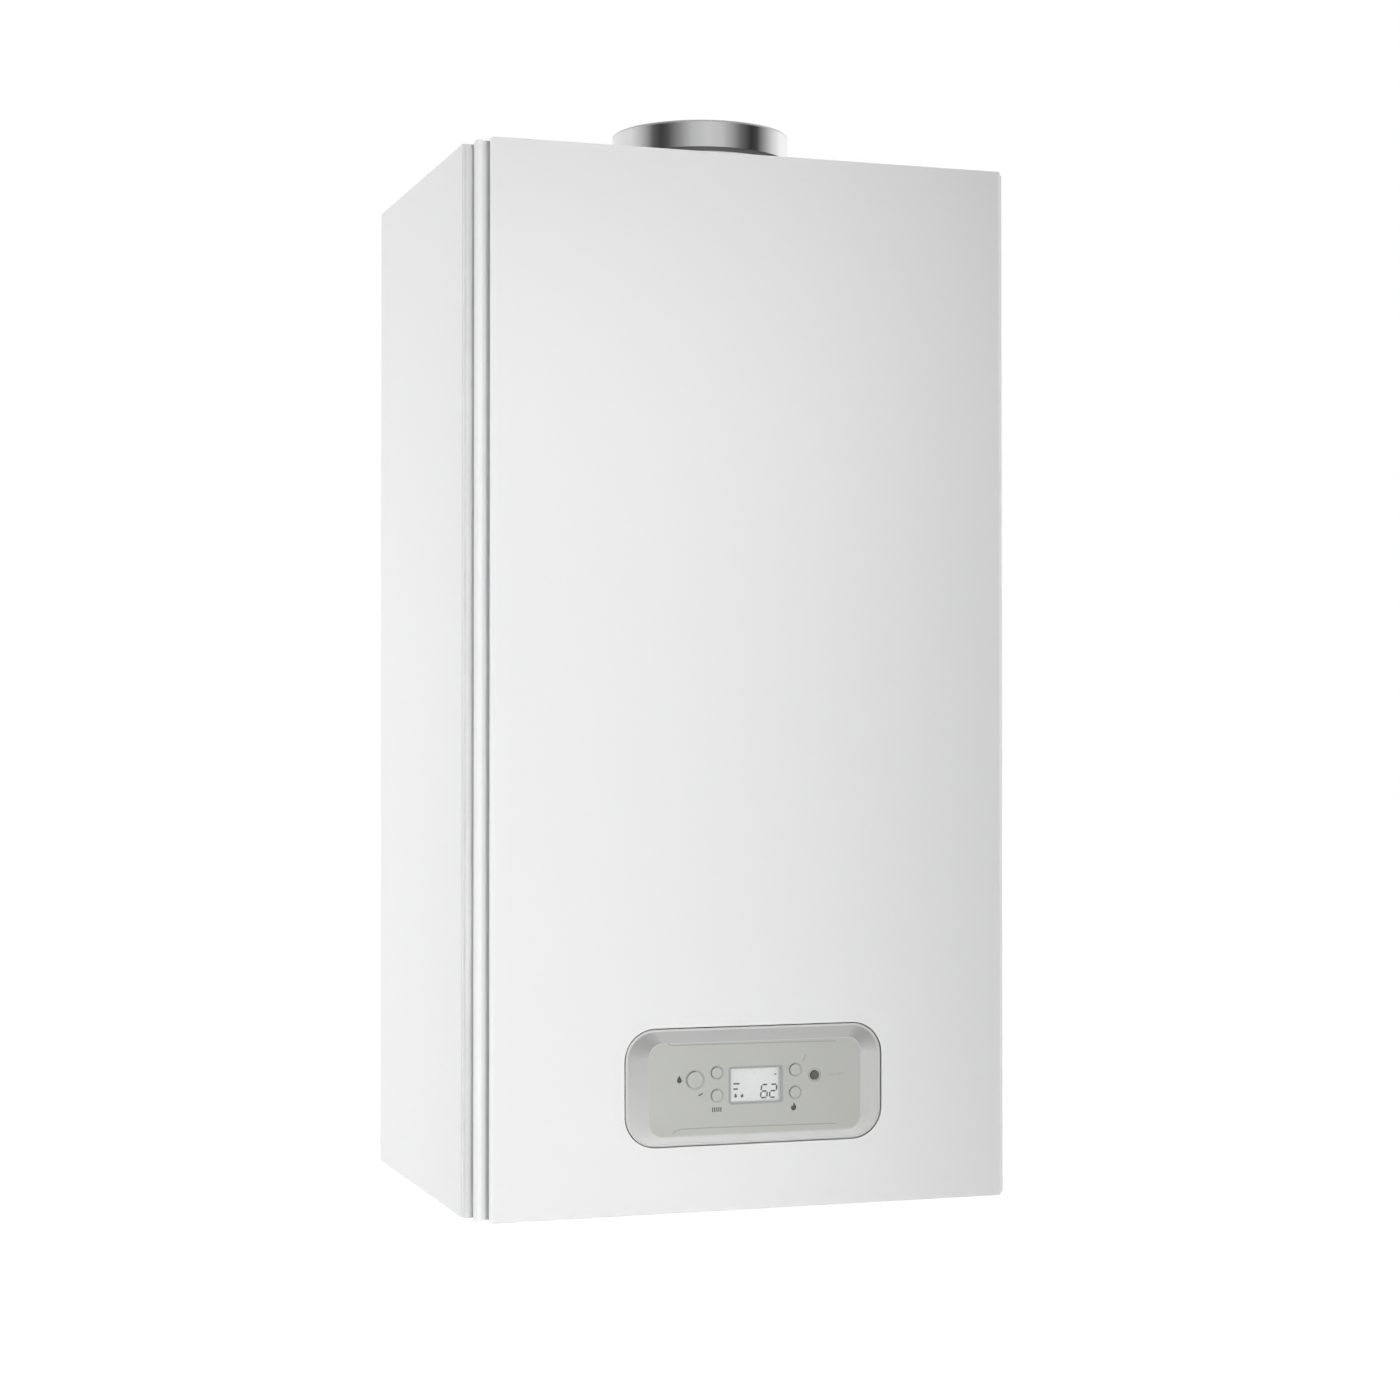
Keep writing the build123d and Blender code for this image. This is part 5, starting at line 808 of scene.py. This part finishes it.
# What metal sees round the horizon, by angle from -180 to 180 degrees: dark flags stand left
# and right of the camera.
BANDS = [
    (-180, 0.33), (-172, 0.12), (-160, 0.05), (-150, 0.09), (-134, 0.30), (-118, 0.56),
    (-98, 0.66), (-80, 0.60), (-66, 0.38), (-54, 0.16), (-38, 0.035), (-28, 0.07), (-14, 0.38),
    (0, 0.72), (22, 1.05), (110, 0.88), (150, 0.80), (168, 0.56), (180, 0.33),
]
band_ramp = sky.nodes.new("ShaderNodeValToRGB")
elements = band_ramp.color_ramp.elements
for index, (angle, tone) in enumerate(BANDS):
    position = (angle + 180) / 360
    element = elements[index] if index < 2 else elements.new(position)
    element.position = position
    element.color = (tone, tone, tone, 1)
sky.links.new(gradient.outputs["Fac"], band_ramp.inputs["Fac"])
lit = world_background(AMBIENT)
mirrored = world_background(1.0, band_ramp.outputs["Color"])
seen = world_background(1.0)
shade = world_mix(paths.outputs["Is Glossy Ray"], lit, mirrored)
shade = world_mix(paths.outputs["Is Transmission Ray"], shade, seen)
shade = world_mix(paths.outputs["Is Camera Ray"], shade, seen)
sky.links.new(shade, world_output.inputs["Surface"])

FLOOR_DROP = 0.85  # the boiler hangs this far above the floor
FLOOR_HALF = 40.0
FLOOR_TONE = 0.86
FLOOR_SEEN = 0.86  # added where the camera or glass looks at the floor
FLOOR_MIRRORED = 0.55  # added where metal looks at it
floor_mesh = bpy.data.meshes.new("floor")
grid = bmesh.new()
bmesh.ops.create_grid(grid, x_segments=1, y_segments=1, size=FLOOR_HALF)
grid.to_mesh(floor_mesh)
grid.free()
floor = bpy.data.objects.new("floor", floor_mesh)
floor.location = (0, 0, BOTTOM - FLOOR_DROP)
bpy.context.collection.objects.link(floor)
floor_material = bpy.data.materials.new("floor")
floor_material.use_nodes = True
tree = floor_material.node_tree
tree.nodes.clear()
floor_out = tree.nodes.new("ShaderNodeOutputMaterial")
diffuse = tree.nodes.new("ShaderNodeBsdfDiffuse")
diffuse.inputs["Color"].default_value = (FLOOR_TONE, FLOOR_TONE, FLOOR_TONE, 1)
glow = tree.nodes.new("ShaderNodeEmission")
blend = tree.nodes.new("ShaderNodeAddShader")
light_path = tree.nodes.new("ShaderNodeLightPath")
# The floor glows for the camera, glass and metal only, so the glow lights no matt surface.
ray = light_path.outputs
direct = math_node(tree, "MAXIMUM", ray["Is Camera Ray"], ray["Is Transmission Ray"])
direct = math_node(tree, "MULTIPLY", direct, FLOOR_SEEN)
reflected = math_node(tree, "MULTIPLY", ray["Is Glossy Ray"], FLOOR_MIRRORED)
tree.links.new(math_node(tree, "MAXIMUM", direct, reflected), glow.inputs["Strength"])
tree.links.new(diffuse.outputs["BSDF"], blend.inputs[0])
tree.links.new(glow.outputs["Emission"], blend.inputs[1])
tree.links.new(blend.outputs["Shader"], floor_out.inputs["Surface"])
floor_mesh.materials.append(floor_material)


def area_light(name, place, target, size, power, spread=180):
    """A soft rectangular lamp aimed at a point; a narrow spread is a grid in front of it."""
    lamp = bpy.data.lights.new(name, "AREA")
    lamp.shape = "RECTANGLE"
    lamp.size, lamp.size_y = size
    lamp.energy = power
    lamp.spread = math.radians(spread)
    lamp_object = bpy.data.objects.new(name, lamp)
    lamp_object.location = place
    aim = Vector(target) - Vector(place)
    lamp_object.rotation_euler = aim.to_track_quat("-Z", "Y").to_euler()
    lamp_object.visible_glossy = False
    lamp_object.visible_camera = False
    bpy.context.collection.objects.link(lamp_object)


# Each lamp's place, the point it is aimed at, its width and height, and its power in watts.
# The key lamp's grid keeps its light on the left and middle of the front.
area_light("key", (-0.39, -2.60, -0.55), (-0.39, -0.30, -0.55), (1.22, 1.6), 4.18, 22)
area_light("top", (0.1, -0.4, 1.9), (0, -0.15, -0.3), (1.6, 1.6), 6.0)
area_light("above", (0, 0.35, 1.7), (0, -0.10, 0.07), (1.2, 0.9), 14.0)
area_light("behind", (0.4, 2.4, 0.0), (0, 0, -0.3), (1.4, 1.4), 26.0)
area_light("left", (-1.35, 0.05, -0.44), (-0.2, -0.10, -0.42), (0.8, 1.4), 12.4)
area_light("right", (1.95, -0.45, -0.3), (0.2, -0.2, -0.3), (0.8, 1.6), 13.5)

# ------------------------------------------------------------------ camera

# Solved from the casing's corners in the photo.
FOCAL_PIXELS = 2764.87
IMAGE_PIXELS = 1400
SENSOR = 36.0
CAMERA_X = -637.18 * MM
CAMERA_Y = -2103.65 * MM
CAMERA_LEVEL = 326.46
CAMERA_RISE = 0.75  # degrees above level
CAMERA_TURN = -18.33  # degrees from straight ahead
camera_data = bpy.data.cameras.new("camera")
camera_data.sensor_width = SENSOR
camera_data.lens = FOCAL_PIXELS / IMAGE_PIXELS * SENSOR
camera = bpy.data.objects.new("camera", camera_data)
camera.location = (CAMERA_X, CAMERA_Y, level(CAMERA_LEVEL))
camera.rotation_euler = (math.radians(90 + CAMERA_RISE), 0, math.radians(CAMERA_TURN))
bpy.context.collection.objects.link(camera)
bpy.context.scene.camera = camera
bpy.context.scene.view_settings.view_transform = "Standard"
